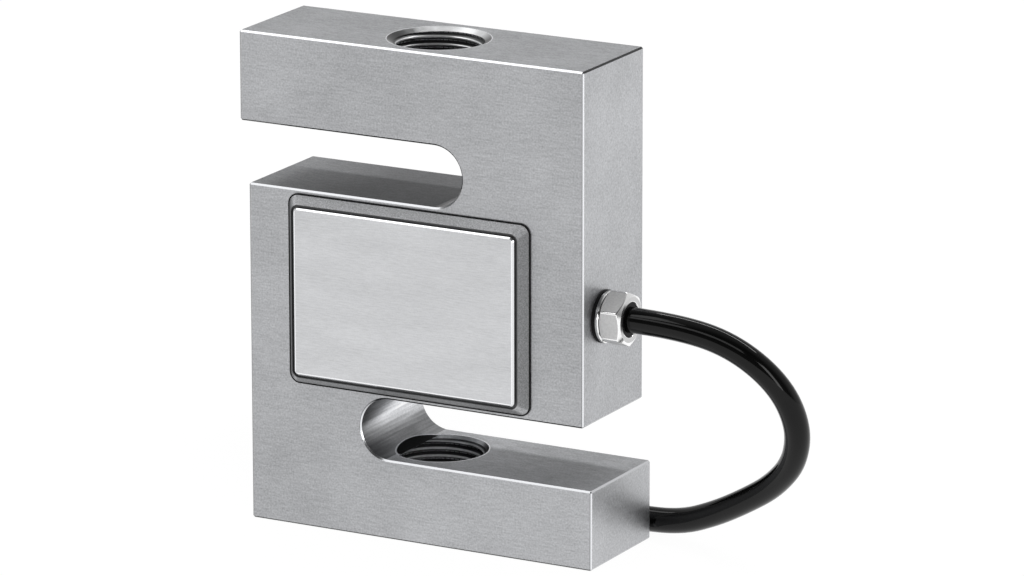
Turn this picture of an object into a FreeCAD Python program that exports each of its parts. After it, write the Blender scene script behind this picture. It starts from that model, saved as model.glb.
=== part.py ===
import FreeCAD, Part
import math
import os
import Sketcher
from FreeCAD import Placement, Rotation, Vector

# An S type load cell: a steel block cut by two slots, so that a pull or push on the two
# threaded holes bends its middle. Millimetres, +Z up. The origin is where the axis of the
# threaded holes meets the bottom face. +X points to the cable gland, -Y to the front cover.

SIZES = {
    # the S shaped block
    "body_height": 101.6,
    "body_depth": 25.4,
    "left_reach": 36.9,
    "right_reach": 39.3,
    "top_arm_overhang": 1.9,
    "foot_overhang": 1.9,
    "top_arm_height": 18.6,
    "foot_height": 16.5,
    "slot_height": 12.7,
    "top_slot_reach": 12.0,
    "foot_slot_reach": 11.3,
    "edge_chamfer": 0.35,
    # the threaded holes, cut at the thread's major radius
    "thread_radius": 9.525,
    "mouth_radius": 10.5,
    "mouth_depth": 0.56,
    "inner_break": 0.3,
    # the gauge pockets on the front and the back, with a web left between them
    "pocket_width": 44.0,
    "pocket_height": 28.0,
    "pocket_corner": 4.0,
    "web_thickness": 4.0,
    "wire_hole_radius": 1.5,
    "wire_hole_side": 9.5,
    "wire_hole_rise": 10.5,
    "duct_overrun": 1.0,
    # the covers and their seals
    "cover_width": 54.6,
    "cover_height": 38.9,
    "cover_corner": 2.0,
    "cover_slope_rise": 2.05,
    "cover_slope_inset": 1.45,
    "cover_rise": 2.5,
    "plate_inset": 2.1,
    "plate_corner": 1.0,
    "plate_chamfer": 0.3,
    "cover_groove_width": 0.5,
    "cover_groove_depth": 0.35,
    "cover_land": 3.0,
    "cover_hollow": 1.1,
    "seal_thickness": 0.3,
    "seal_lip": 0.3,
    # the gland and its port in the right side of the block
    "gland_over_centre": 0.55,
    "gland_forward": 4.0,
    "port_radius": 4.0,
    "port_depth": 9.0,
    "duct_radius": 1.7,
    "thread_clearance": 0.05,
    "shank_length": 7.5,
    "seal_ring_thickness": 0.55,
    "seal_ring_radius": 5.35,
    "flange_thickness": 0.85,
    "flange_radius": 5.25,
    "flange_break": 0.2,
    "sleeve_length": 2.3,
    "nut_across_flats": 10.0,
    "nut_length": 4.7,
    "nut_mouth_radius": 3.55,
    "nut_lip": 1.2,
    "nut_face_radius": 4.6,
    "nut_back_radius": 4.85,
    "nut_corner_slope": 0.58,
    "nut_mouth_break": 0.2,
    "clamp_ring_thickness": 0.5,
    "bush_recess": 0.25,
    # strain gauges, terminal boards and wiring in the pockets
    "gauge_width": 7.0,
    "gauge_height": 9.0,
    "gauge_thickness": 0.12,
    "gauge_spacing": 9.0,
    "gauge_tab": 1.2,
    "gauge_tab_side": 1.8,
    "gauge_tab_rise": 3.5,
    "gauge_tab_thickness": 0.1,
    "board_width": 8.0,
    "board_height": 20.0,
    "board_thickness": 1.0,
    "board_side": 15.0,
    "board_pad_thickness": 0.3,
    "board_pad_margin": 0.6,
    "strip_width": 5.0,
    "strip_height": 12.0,
    "resistor_length": 3.2,
    "resistor_width": 1.6,
    "resistor_thickness": 0.6,
    "resistor_drop": 6.0,
    "resistor_step": 2.3,
    "pad_pitch": 2.6,
    "pad_inset": 1.2,
    "jumper_radius": 0.25,
    "jumper_lift": 1.8,
    "jumper_step": 0.8,
    "link_lift": 5.2,
    "link_spread": 0.6,
    "core_radius": 0.55,
    "core_spread": 0.6,
    "core_lift": 3.1,
    "core_run_out": 1.2,
    # the cable and its stored coil
    "cable_radius": 2.6,
    "cable_first_run": 10.5,
    "cable_inner_reach": 6.5,
    "coil_side": -50.7,
    "coil_back": 47.28,
    "coil_turn_radius": 14.2,
    "coil_straight": 30.0,
    "coil_angle": 28.6,
    "coil_turns": 8.0,
    "coil_floor_gap": 1.1,
    "coil_stub": 15.0,
    "coil_edge": 1.3,
    "tie_width": 3.6,
    "tie_thickness": 1.0,
    "tie_clearance": 0.05,
    "tie_side_clearance": 0.2,
    "tie_head": 4.6,
    "tie_head_depth": 3.2,
    "tie_head_rise": 26.0,
    "left_tie_turn": -135.0,
    "right_tie_turn": 60.0,
    "sleeve_radius": 3.1,
    "sleeve_run": 12.0,
    "sleeve_edge": 0.8,
    "tail_run": 9.0,
    "tail_core_radius": 0.6,
    "tail_core_offset": 0.66,
    "upper_tail_side": 0.75,
    "lower_tail_side": 1.5,
}

doc = FreeCAD.newDocument("load_cell")
sheet = doc.addObject("Spreadsheet::Sheet", "sizes")
for row, (word, size) in enumerate(SIZES.items(), start=1):
    sheet.set(f"A{row}", word)
    sheet.set(f"B{row}", str(size))
    sheet.setAlias(f"B{row}", word)
doc.recompute()
parts = []


def size(word):
    return float(sheet.get(word))


def bind(obj, **rules):
    """Bind properties to the sheet: each rule is an expression over the sheet's names."""
    for path, rule in rules.items():
        for word in sorted(SIZES, key=len, reverse=True):
            rule = rule.replace(f"<{word}>", f"sizes.{word}")
        obj.setExpression(path.replace("__", "."), rule)


def new_body(name):
    body = doc.addObject("PartDesign::Body", name)
    body.Label = name
    parts.append(body)
    return body


def new_sketch(body, name, plane, offset=None):
    """A sketch on one of the body's own origin planes, set off along the plane's normal."""
    sketch = body.newObject("Sketcher::SketchObject", name)
    support = [f for f in body.Origin.OriginFeatures if f.Role == plane][0]
    sketch.AttachmentSupport = [(support, "")]
    sketch.MapMode = "FlatFace"
    if offset:
        bind(sketch, AttachmentOffset__Base__z=offset)
    return sketch


def limit(sketch, kind, first, second, rule):
    """A named distance in a sketch, from the first point to the second, bound to the sheet."""
    index = sketch.addConstraint(Sketcher.Constraint(kind, *first, *second, evaluate(rule)))
    name = f"size_{index}"
    sketch.renameConstraint(index, name)
    bind(sketch, **{f"Constraints__{name}": rule})


def polygon(sketch, corners):
    """Closed straight outline. Each corner is a pair of expressions, fixed from the origin."""
    places = [[evaluate(rule) for rule in corner] for corner in corners]
    count = len(corners)
    for i in range(count):
        start, end = places[i], places[(i + 1) % count]
        line = Part.LineSegment(Vector(*start, 0), Vector(*end, 0))
        sketch.addGeometry(line, False)
    for i in range(count):
        sketch.addConstraint(Sketcher.Constraint("Coincident", i, 2, (i + 1) % count, 1))
    for i, (corner, place) in enumerate(zip(corners, places)):
        for kind, rule, value in zip(("DistanceX", "DistanceY"), corner, place):
            if abs(value) < 1e-9:
                on_axis = -2 if kind == "DistanceX" else -1
                sketch.addConstraint(Sketcher.Constraint("PointOnObject", i, 1, on_axis))
            elif value > 0:
                limit(sketch, kind, (-1, 1), (i, 1), rule)
            else:
                limit(sketch, kind, (i, 1), (-1, 1), f"-({rule})")


def evaluate(rule):
    """The value of an expression over the sheet's names, such as "<slot_height> / 2"."""
    probe = doc.getObject("probe") or doc.addObject("App::FeaturePython", "probe")
    if "Value" not in probe.PropertiesList:
        probe.addProperty("App::PropertyFloat", "Value")
    bind(probe, Value=rule)
    probe.recompute()
    return probe.Value


def rounded_rectangle(sketch, width, height, corner):
    """A rectangle about the sketch's origin with equal round corners."""
    w, h, r = evaluate(width) / 2, evaluate(height) / 2, evaluate(corner)
    base = sketch.GeometryCount
    sides = [((-w + r, -h), (w - r, -h)), ((w, -h + r), (w, h - r)),
             ((w - r, h), (-w + r, h)), ((-w, h - r), (-w, -h + r))]
    centres = [(w - r, -h + r), (w - r, h - r), (-w + r, h - r), (-w + r, -h + r)]
    for start, end in sides:
        sketch.addGeometry(Part.LineSegment(Vector(*start, 0), Vector(*end, 0)), False)
    for i, (x, y) in enumerate(centres):
        whole = Part.Circle(Vector(x, y, 0), Vector(0, 0, 1), r)
        arc = Part.ArcOfCircle(whole, (i - 1) * math.pi / 2, i * math.pi / 2)
        sketch.addGeometry(arc, False)
    for i in range(4):
        side, arc, after = base + i, base + 4 + i, base + (i + 1) % 4
        sketch.addConstraint(Sketcher.Constraint("Tangent", side, 2, arc, 1))
        sketch.addConstraint(Sketcher.Constraint("Tangent", arc, 2, after, 1))
        sketch.addConstraint(Sketcher.Constraint("Horizontal" if i % 2 == 0 else "Vertical", side))
    for i in range(1, 4):
        sketch.addConstraint(Sketcher.Constraint("Equal", base + 4, base + 4 + i))
    limit(sketch, "Radius", (base + 4,), (), corner)
    limit(sketch, "DistanceX", (-1, 1), (base + 1, 1), f"({width}) / 2")
    limit(sketch, "DistanceX", (base + 3, 1), (-1, 1), f"({width}) / 2")
    limit(sketch, "DistanceY", (-1, 1), (base + 2, 1), f"({height}) / 2")
    limit(sketch, "DistanceY", (base, 1), (-1, 1), f"({height}) / 2")


def circle(sketch, x, y, radius):
    index = sketch.GeometryCount
    centre = Vector(evaluate(x), evaluate(y), 0)
    sketch.addGeometry(Part.Circle(centre, Vector(0, 0, 1), evaluate(radius)), False)
    for kind, rule, value in (("DistanceX", x, centre.x), ("DistanceY", y, centre.y)):
        if abs(value) < 1e-9:
            on_axis = -2 if kind == "DistanceX" else -1
            sketch.addConstraint(Sketcher.Constraint("PointOnObject", index, 3, on_axis))
        elif value > 0:
            limit(sketch, kind, (-1, 1), (index, 3), rule)
        else:
            limit(sketch, kind, (index, 3), (-1, 1), f"-({rule})")
    limit(sketch, "Radius", (index,), (), radius)


def pad(body, sketch, length, both_ways=False, backwards=False):
    feature = body.newObject("PartDesign::Pad", f"{sketch.Name}_pad")
    feature.Profile = sketch
    bind(feature, Length=length)
    feature.SideType = "Symmetric" if both_ways else "One side"
    feature.Reversed = backwards
    doc.recompute()
    return feature


def cut(body, sketch, length, both_ways=False, backwards=False):
    """A pocket, checked to have taken something away."""
    before = body.Tip.Shape.Volume
    feature = body.newObject("PartDesign::Pocket", f"{sketch.Name}_cut")
    feature.Profile = sketch
    bind(feature, Length=length)
    feature.SideType = "Symmetric" if both_ways else "One side"
    feature.Reversed = backwards
    doc.recompute()
    if feature.Shape.Volume > before - 1e-3:
        raise ValueError(f"{sketch.Name} cuts nothing")
    return feature


def turn(body, sketch, axis, taking_away=False):
    """A full turn of a sketch about one of its axes, added or cut away."""
    before = body.Tip.Shape.Volume if taking_away else 0.0
    kind = "PartDesign::Groove" if taking_away else "PartDesign::Revolution"
    feature = body.newObject(kind, f"{sketch.Name}_turn")
    feature.Profile = sketch
    feature.ReferenceAxis = (sketch, [axis])
    feature.Angle = 360.0
    doc.recompute()
    if taking_away and feature.Shape.Volume > before - 1e-3:
        raise ValueError(f"{sketch.Name} cuts nothing")
    return feature


# The block. Its front outline is an S: two slots from opposite sides, each with a round
# end past the load axis, leave a top arm, a middle block and a foot.
TOP = "<body_height>"
TOP_ARM_UNDER = "(<body_height> - <top_arm_height>)"
BLOCK_TOP = "(<body_height> - <top_arm_height> - <slot_height>)"
BLOCK_BOTTOM = "(<foot_height> + <slot_height>)"
BLOCK_CENTRE = f"(({BLOCK_TOP} + {BLOCK_BOTTOM}) / 2)"
TOP_TURN = "(<top_slot_reach> - <slot_height> / 2)"
FOOT_TURN = "(<foot_slot_reach> - <slot_height> / 2)"
GLAND_RISE = f"({BLOCK_CENTRE} + <gland_over_centre>)"


def s_outline(sketch):
    """The S: straight sides, and one half circle tangent to the two sides of each slot."""
    left, right = -size("left_reach"), size("right_reach")
    arm_left = left - size("top_arm_overhang")
    foot_right = right + size("foot_overhang")
    foot, low = size("foot_height"), evaluate(BLOCK_BOTTOM)
    high, arm, top = evaluate(BLOCK_TOP), evaluate(TOP_ARM_UNDER), size("body_height")
    top_turn, foot_turn = evaluate(TOP_TURN), evaluate(FOOT_TURN)
    lines = [
        ((left, 0), (foot_right, 0)),
        ((foot_right, 0), (foot_right, foot)),
        ((foot_right, foot), (-foot_turn, foot)),
        ((-foot_turn, low), (right, low)),
        ((right, low), (right, top)),
        ((right, top), (arm_left, top)),
        ((arm_left, top), (arm_left, arm)),
        ((arm_left, arm), (top_turn, arm)),
        ((top_turn, high), (left, high)),
        ((left, high), (left, 0)),
    ]
    for start, end in lines:
        sketch.addGeometry(Part.LineSegment(Vector(*start, 0), Vector(*end, 0)), False)
    radius = size("slot_height") / 2
    quarter = math.pi / 2
    ends = ((-foot_turn, (foot + low) / 2, quarter), (top_turn, (arm + high) / 2, -quarter))
    for x, z, start in ends:
        round_end = Part.Circle(Vector(x, z, 0), Vector(0, 0, 1), radius)
        arc = Part.ArcOfCircle(round_end, start, start + math.pi)
        sketch.addGeometry(arc, False)
    low_arc = len(lines)
    high_arc = low_arc + 1
    for i in (0, 1, 3, 4, 5, 6, 8, 9):
        sketch.addConstraint(Sketcher.Constraint("Coincident", i, 2, (i + 1) % len(lines), 1))
    for i in (0, 2, 3, 5, 7, 8):
        sketch.addConstraint(Sketcher.Constraint("Horizontal", i))
    for i in (1, 4, 6, 9):
        sketch.addConstraint(Sketcher.Constraint("Vertical", i))
    sketch.addConstraint(Sketcher.Constraint("Tangent", 2, 2, low_arc, 2))
    sketch.addConstraint(Sketcher.Constraint("Tangent", 3, 1, low_arc, 1))
    sketch.addConstraint(Sketcher.Constraint("Tangent", 7, 2, high_arc, 2))
    sketch.addConstraint(Sketcher.Constraint("Tangent", 8, 1, high_arc, 1))
    sketch.addConstraint(Sketcher.Constraint("PointOnObject", 0, 1, -1))
    origin = (-1, 1)
    limit(sketch, "DistanceX", (0, 1), origin, "<left_reach>")
    limit(sketch, "DistanceX", origin, (0, 2), "<right_reach> + <foot_overhang>")
    limit(sketch, "DistanceX", origin, (4, 1), "<right_reach>")
    limit(sketch, "DistanceX", (6, 1), origin, "<left_reach> + <top_arm_overhang>")
    limit(sketch, "DistanceX", (low_arc, 3), origin, FOOT_TURN)
    limit(sketch, "DistanceX", origin, (high_arc, 3), TOP_TURN)
    limit(sketch, "DistanceY", origin, (1, 2), "<foot_height>")
    limit(sketch, "DistanceY", origin, (4, 1), BLOCK_BOTTOM)
    limit(sketch, "DistanceY", origin, (4, 2), TOP)
    limit(sketch, "DistanceY", origin, (7, 1), TOP_ARM_UNDER)
    limit(sketch, "DistanceY", origin, (8, 2), BLOCK_TOP)


def outline_edges(shape):
    """The names of the edges to chamfer: the front and back outlines, and every sharp corner."""
    half = size("body_depth") / 2
    corners = [(-size("left_reach"), 0.0), (size("right_reach") + size("foot_overhang"), 0.0)]
    corners.append((corners[1][0], size("foot_height")))
    corners.append((size("right_reach"), evaluate(BLOCK_BOTTOM)))
    corners.append((size("right_reach"), size("body_height")))
    corners.append((-size("left_reach") - size("top_arm_overhang"), size("body_height")))
    corners.append((corners[5][0], evaluate(TOP_ARM_UNDER)))
    corners.append((-size("left_reach"), evaluate(BLOCK_TOP)))
    names = []
    for index, edge in enumerate(shape.Edges, start=1):
        ys = [v.Point.y for v in edge.Vertexes]
        on_face = max(ys) - min(ys) < 1e-6 and abs(abs(ys[0]) - half) < 1e-6
        at = edge.Vertexes[0].Point
        on_corner = any(math.hypot(at.x - x, at.z - z) < 1e-6 for x, z in corners)
        if on_face or on_corner:
            names.append(f"Edge{index}")
    return names


def hole_section(sketch, outer, inner, outwards):
    """Half the section of a threaded hole through an arm: break, wall and countersunk mouth."""
    mouth = f"({outer} - ({outwards}) * <mouth_depth>)"
    start = f"({inner} + ({outwards}) * <inner_break>)"
    polygon(sketch, [
        ("0", inner),
        ("<thread_radius> + <inner_break>", inner),
        ("<thread_radius>", start),
        ("<thread_radius>", mouth),
        ("<mouth_radius>", outer),
        ("0", outer),
    ])


body = new_body("s_body")
outline = new_sketch(body, "outline", "XZ_Plane")
s_outline(outline)
block = pad(body, outline, "<body_depth>", both_ways=True)
chamfer = body.newObject("PartDesign::Chamfer", "outline_chamfer")
chamfer.Base = (block, outline_edges(block.Shape))
bind(chamfer, Size="<edge_chamfer>")
doc.recompute()

FRONT, BACK = "<body_depth> / 2", "-<body_depth> / 2"
POCKET_DEPTH = "(<body_depth> - <web_thickness>) / 2"
for side, offset in (("front", FRONT), ("rear", BACK)):
    recess = new_sketch(body, f"{side}_pocket", "XZ_Plane", offset)
    bind(recess, AttachmentOffset__Base__y=BLOCK_CENTRE)
    rounded_rectangle(recess, "<pocket_width>", "<pocket_height>", "<pocket_corner>")
    cut(body, recess, POCKET_DEPTH, backwards=side == "rear")
for name, outer, inner, outwards in (
    ("top_hole", TOP, TOP_ARM_UNDER, "1"),
    ("foot_hole", "0", "<foot_height>", "-1"),
):
    section = new_sketch(body, name, "XZ_Plane")
    hole_section(section, outer, inner, outwards)
    turn(body, section, "V_Axis", taking_away=True)
for name, radius, depth in (
    ("gland_port", "<port_radius>", "<port_depth>"),
    ("core_duct", "<duct_radius>", "<right_reach> - <pocket_width> / 2 + <duct_overrun>"),
):
    mouth = new_sketch(body, name, "YZ_Plane", "<right_reach>")
    circle(mouth, "-<gland_forward>", GLAND_RISE, radius)
    cut(body, mouth, depth)
wire_hole = new_sketch(body, "wire_hole", "XZ_Plane")
circle(wire_hole, "<wire_hole_side>", f"{BLOCK_CENTRE} + <wire_hole_rise>", "<wire_hole_radius>")
cut(body, wire_hole, "2 * <web_thickness>", both_ways=True)


# The covers. Each closes a gauge pocket: blasted sloping sides, a groove, and a brushed
# plate in the middle that stands a little prouder. A thin seal lies under the rim.
def rim_edges(shape, level):
    """The names of the edges that lie in the plane at this height over the cover's base."""
    names = []
    for index, edge in enumerate(shape.Edges, start=1):
        box = edge.BoundBox
        if abs(box.YMin + level) < 1e-6 and abs(box.YMax + level) < 1e-6:
            names.append(f"Edge{index}")
    return names


def inset(rule, amount):
    return f"({rule} - 2 * ({amount}))"


def make_cover(side):
    cover = new_body(f"{side}_cover")
    base = new_sketch(cover, f"{side}_cover_base", "XZ_Plane")
    rounded_rectangle(base, "<cover_width>", "<cover_height>", "<cover_corner>")
    rim = new_sketch(cover, f"{side}_cover_rim", "XZ_Plane", "<cover_slope_rise>")
    slope = "<cover_slope_inset>"
    rim_corner = "<plate_corner> + <plate_inset> - <cover_slope_inset>"
    rounded_rectangle(rim, inset("<cover_width>", slope), inset("<cover_height>", slope), rim_corner)
    loft = cover.newObject("PartDesign::AdditiveLoft", f"{side}_cover_slopes")
    loft.Profile = base
    loft.Sections = [rim]
    loft.Ruled = True
    doc.recompute()
    plate = new_sketch(cover, f"{side}_cover_plate", "XZ_Plane", "<cover_slope_rise>")
    across, down = inset("<cover_width>", "<plate_inset>"), inset("<cover_height>", "<plate_inset>")
    rounded_rectangle(plate, across, down, "<plate_corner>")
    raised = pad(cover, plate, "<cover_rise> - <cover_slope_rise>")
    edge = cover.newObject("PartDesign::Chamfer", f"{side}_cover_edge")
    edge.Base = (raised, rim_edges(raised.Shape, size("cover_rise")))
    bind(edge, Size="<plate_chamfer>")
    doc.recompute()
    groove = new_sketch(cover, f"{side}_cover_groove", "XZ_Plane", "<cover_slope_rise>")
    rounded_rectangle(groove, across, down, "<plate_corner>")
    wider = "-<cover_groove_width>"
    outer_corner = "<plate_corner> + <cover_groove_width>"
    rounded_rectangle(groove, inset(across, wider), inset(down, wider), outer_corner)
    cut(cover, groove, "<cover_groove_depth>")
    hollow = new_sketch(cover, f"{side}_cover_hollow", "XZ_Plane")
    land = "<cover_land>"
    across, down = inset("<cover_width>", land), inset("<cover_height>", land)
    rounded_rectangle(hollow, across, down, "<cover_corner>")
    cut(cover, hollow, "<cover_hollow>", backwards=True)
    return cover


def make_seal(side):
    seal = new_body(f"{side}_cover_seal")
    ring = new_sketch(seal, f"{side}_seal_ring", "XZ_Plane")
    lip, land = "-<seal_lip>", "<cover_land>"
    outer_corner = "<cover_corner> + <seal_lip>"
    for amount, corner in ((lip, outer_corner), (land, "<cover_corner>")):
        across, down = inset("<cover_width>", amount), inset("<cover_height>", amount)
        rounded_rectangle(ring, across, down, corner)
    pad(seal, ring, "<seal_thickness>")
    return seal


for side, sign, half_turn in (("front", "-", 0), ("rear", "", 180)):
    cover, seal = make_cover(side), make_seal(side)
    for piece, stand_off in ((seal, "0"), (cover, "<seal_thickness>")):
        piece.Placement.Rotation = Rotation(Vector(0, 0, 1), half_turn)
        bind(piece, Placement__Base__y=f"{sign}(<body_depth> / 2 + {stand_off})")
        bind(piece, Placement__Base__z=BLOCK_CENTRE)


# The cable gland, drawn along X from the block's right face: a seal ring, the body with
# its flange, the hexagon nut, and inside the nut a clamp ring and a rubber bush.
SHANK = "(<port_radius> - <thread_clearance>)"
CABLE_BORE = "(<cable_radius> + <thread_clearance>)"
FLANGE_END = "(<seal_ring_thickness> + <flange_thickness>)"
SLEEVE_END = f"({FLANGE_END} + <sleeve_length>)"
NUT_END = f"({FLANGE_END} + <nut_length>)"
LIP_START = f"({NUT_END} - <nut_lip>)"
RING_END = f"({SLEEVE_END} + <clamp_ring_thickness>)"


def gland_turning(name, corners):
    """A piece turned about the gland's axis. Corners are pairs: along the axis, and radius."""
    piece = new_body(name)
    section = new_sketch(piece, f"{name}_section", "XZ_Plane")
    polygon(section, corners)
    turn(piece, section, "H_Axis")
    return piece


def place_on_gland(piece):
    bind(piece, Placement__Base__x="<right_reach>")
    bind(piece, Placement__Base__y="-<gland_forward>")
    bind(piece, Placement__Base__z=GLAND_RISE)


seal_ring = gland_turning("gland_seal_ring", [
    ("0", "<port_radius>"),
    ("<seal_ring_thickness>", "<port_radius>"),
    ("<seal_ring_thickness>", "<seal_ring_radius>"),
    ("0", "<seal_ring_radius>"),
])
gland_body = gland_turning("gland_body", [
    ("-<shank_length>", CABLE_BORE),
    (SLEEVE_END, CABLE_BORE),
    (SLEEVE_END, SHANK),
    (FLANGE_END, SHANK),
    (FLANGE_END, "<flange_radius> - <flange_break>"),
    (f"{FLANGE_END} - <flange_break>", "<flange_radius>"),
    ("<seal_ring_thickness> + <flange_break>", "<flange_radius>"),
    ("<seal_ring_thickness>", "<flange_radius> - <flange_break>"),
    ("<seal_ring_thickness>", SHANK),
    ("-<shank_length>", SHANK),
])
clamp_ring = gland_turning("gland_clamp_ring", [
    (SLEEVE_END, CABLE_BORE),
    (RING_END, CABLE_BORE),
    (RING_END, SHANK),
    (SLEEVE_END, SHANK),
])
BUSH_NOSE = "(<nut_mouth_radius> - <thread_clearance>)"
bush = gland_turning("gland_bush", [
    (RING_END, CABLE_BORE),
    (f"{NUT_END} - <bush_recess>", CABLE_BORE),
    (f"{NUT_END} - <bush_recess>", BUSH_NOSE),
    (LIP_START, BUSH_NOSE),
    (LIP_START, SHANK),
    (RING_END, SHANK),
])


def hexagon(sketch, across_flats):
    """A hexagon about the origin with a corner on the sketch's X axis."""
    corner = evaluate(across_flats) / math.sqrt(3)
    spots = [Vector(corner * math.cos(math.radians(a)), corner * math.sin(math.radians(a)), 0)
             for a in range(0, 360, 60)]
    for i in range(6):
        sketch.addGeometry(Part.LineSegment(spots[i], spots[(i + 1) % 6]), False)
    sketch.addGeometry(Part.Circle(Vector(0, 0, 0), Vector(0, 0, 1), corner), True)
    for i in range(6):
        sketch.addConstraint(Sketcher.Constraint("Coincident", i, 2, (i + 1) % 6, 1))
        sketch.addConstraint(Sketcher.Constraint("PointOnObject", i, 1, 6))
    for i in range(1, 6):
        sketch.addConstraint(Sketcher.Constraint("Equal", 0, i))
    sketch.addConstraint(Sketcher.Constraint("Coincident", 6, 3, -1, 1))
    sketch.addConstraint(Sketcher.Constraint("PointOnObject", 0, 1, -1))
    limit(sketch, "Radius", (6,), (), f"{across_flats} / sqrt(3)")


def make_nut():
    """The hexagon nut: corners turned off at both ends, a thread bore and a narrower mouth."""
    nut = new_body("gland_nut")
    outline = new_sketch(nut, "nut_outline", "YZ_Plane", FLANGE_END)
    hexagon(outline, "<nut_across_flats>")
    pad(nut, outline, "<nut_length>")
    reach = "<nut_across_flats>"
    for end, start, way, face in (
        ("front", NUT_END, "-1", "<nut_face_radius>"),
        ("back", FLANGE_END, "1", "<nut_back_radius>"),
    ):
        corner = new_sketch(nut, f"nut_{end}_corners", "XZ_Plane")
        polygon(corner, [
            (start, face),
            (start, reach),
            (f"{start} + ({way}) * ({reach} - {face}) * <nut_corner_slope>", reach),
        ])
        turn(nut, corner, "H_Axis", taking_away=True)
    bore = new_sketch(nut, "nut_bore", "XZ_Plane")
    polygon(bore, [
        (FLANGE_END, "0"),
        (NUT_END, "0"),
        (NUT_END, "<nut_mouth_radius> + <nut_mouth_break>"),
        (f"{NUT_END} - <nut_mouth_break>", "<nut_mouth_radius>"),
        (LIP_START, "<nut_mouth_radius>"),
        (LIP_START, "<port_radius>"),
        (FLANGE_END, "<port_radius>"),
    ])
    turn(nut, bore, "H_Axis", taking_away=True)
    return nut


for piece in (seal_ring, gland_body, clamp_ring, bush, make_nut()):
    place_on_gland(piece)


# What the pockets hold. Each web face carries two shear gauges and a terminal board; the
# rear wiring comes through a hole in the web to the front board, where the cable ends.
WEB = "<web_thickness> / 2"
GAUGE_TOP = f"({WEB} + <gauge_thickness>)"
TAB_TOP = f"({GAUGE_TOP} + <gauge_tab_thickness>)"
PAD_TOP = f"({WEB} + <board_pad_thickness>)"
BOARD_TOP = f"({PAD_TOP} + <board_thickness>)"


def block_on_web(name, sign, across, up, wide, tall, low, thick):
    """A flat block on the web. across and up are its centre, low its base over the web's middle."""
    block = doc.addObject("Part::Box", name)
    bind(block, Length=wide, Height=tall, Width=thick)
    bind(block, Placement__Base__x=f"{across} - ({wide}) / 2")
    bind(block, Placement__Base__y=low if sign > 0 else f"-({low}) - ({thick})")
    bind(block, Placement__Base__z=f"{BLOCK_CENTRE} + {up} - ({tall}) / 2")
    return block


def named(piece, name):
    piece.Label = name
    parts.append(piece)
    return piece


def make_gauge(name, sign, across):
    """A bonded foil gauge: its carrier film and two raised solder tabs, in one piece."""
    film = block_on_web(f"{name}_film", sign, across, "0", "<gauge_width>", "<gauge_height>",
                        WEB, "<gauge_thickness>")
    tabs = [
        block_on_web(f"{name}_tab_{word}", sign, f"{across} {way} <gauge_tab_side>",
                     "<gauge_tab_rise>", "<gauge_tab>", "<gauge_tab>", GAUGE_TOP,
                     "<gauge_tab_thickness>")
        for word, way in (("left", "-"), ("right", "+"))
    ]
    gauge = doc.addObject("Part::MultiFuse", name)
    gauge.Shapes = [film, *tabs]
    return named(gauge, name)


for side, sign in (("front", -1), ("rear", 1)):
    make_gauge(f"{side}_gauge_left", sign, "-<gauge_spacing> / 2")
    make_gauge(f"{side}_gauge_right", sign, "<gauge_spacing> / 2")
for side, sign, wide, tall in (
    ("front", -1, "<board_width>", "<board_height>"),
    ("rear", 1, "<strip_width>", "<strip_height>"),
):
    margin = "2 * <board_pad_margin>"
    bed = block_on_web(f"{side}_board_bed", sign, "<board_side>", "0", f"{wide} - {margin}",
                       f"{tall} - {margin}", WEB, "<board_pad_thickness>")
    named(bed, f"{side}_board_bed")
    board = block_on_web(f"{side}_terminal_board", sign, "<board_side>", "0", wide, tall,
                         PAD_TOP, "<board_thickness>")
    named(board, f"{side}_terminal_board")
for name, drop in (
    ("span_resistor", "<resistor_drop>"),
    ("balance_resistor", "(<resistor_drop> + <resistor_step>)"),
):
    chip = block_on_web(name, -1, "<board_side>", f"-{drop}", "<resistor_length>",
                        "<resistor_width>", BOARD_TOP, "<resistor_thickness>")
    named(chip, name)


def smooth_path(points, bend):
    """Straight runs joined by tangent arcs. bend(i) is the arc's radius at the point i."""
    edges, start = [], points[0]
    for i in range(1, len(points) - 1):
        into = (points[i] - points[i - 1]).normalize()
        out = (points[i + 1] - points[i]).normalize()
        half = into.getAngle(out) / 2
        back = bend(i) * math.tan(half)
        first, last = points[i] - into * back, points[i] + out * back
        inwards = (out - into).normalize()
        middle = points[i] + inwards * (bend(i) / math.cos(half) - bend(i))
        edges.append(Part.LineSegment(start, first).toShape())
        edges.append(Part.Arc(first, middle, last).toShape())
        start = last
    edges.append(Part.LineSegment(start, points[-1]).toShape())
    return Part.Wire(edges)


def swept(path, radius, mitred):
    """A round solid along a path, checked against its section times its length."""
    first = path.OrderedEdges[0]
    begin = first.FirstParameter
    section = Part.Circle(first.valueAt(begin), first.tangentAt(begin), radius)
    solid = path.makePipeShell([Part.Wire([section.toShape()])], True, False, 1 if mitred else 0)
    expected = math.pi * radius**2 * path.Length
    if abs(solid.Volume / expected - 1) > 0.01:
        raise ValueError(f"a tube holds {solid.Volume:.1f} and not {expected:.1f}")
    return solid


def bent_wire(points, radius):
    """A thin wire of straight runs with mitred corners."""
    return swept(Part.makePolygon(points), radius, True)


def shaped(name, shape):
    """A node with a shape worked out here from the sheet's values."""
    piece = doc.addObject("Part::Feature", name)
    piece.Shape = shape
    return named(piece, name)


centre_z = evaluate(BLOCK_CENTRE)
board_face, tab_face = evaluate(BOARD_TOP), evaluate(TAB_TOP)
pad_rises = [centre_z + (i - 1.5) * size("pad_pitch") for i in range(4)]
tab_xs = [
    across * size("gauge_spacing") / 2 + way * size("gauge_tab_side")
    for across in (-1, 1) for way in (-1, 1)
]
tab_z = centre_z + size("gauge_tab_rise")


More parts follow.
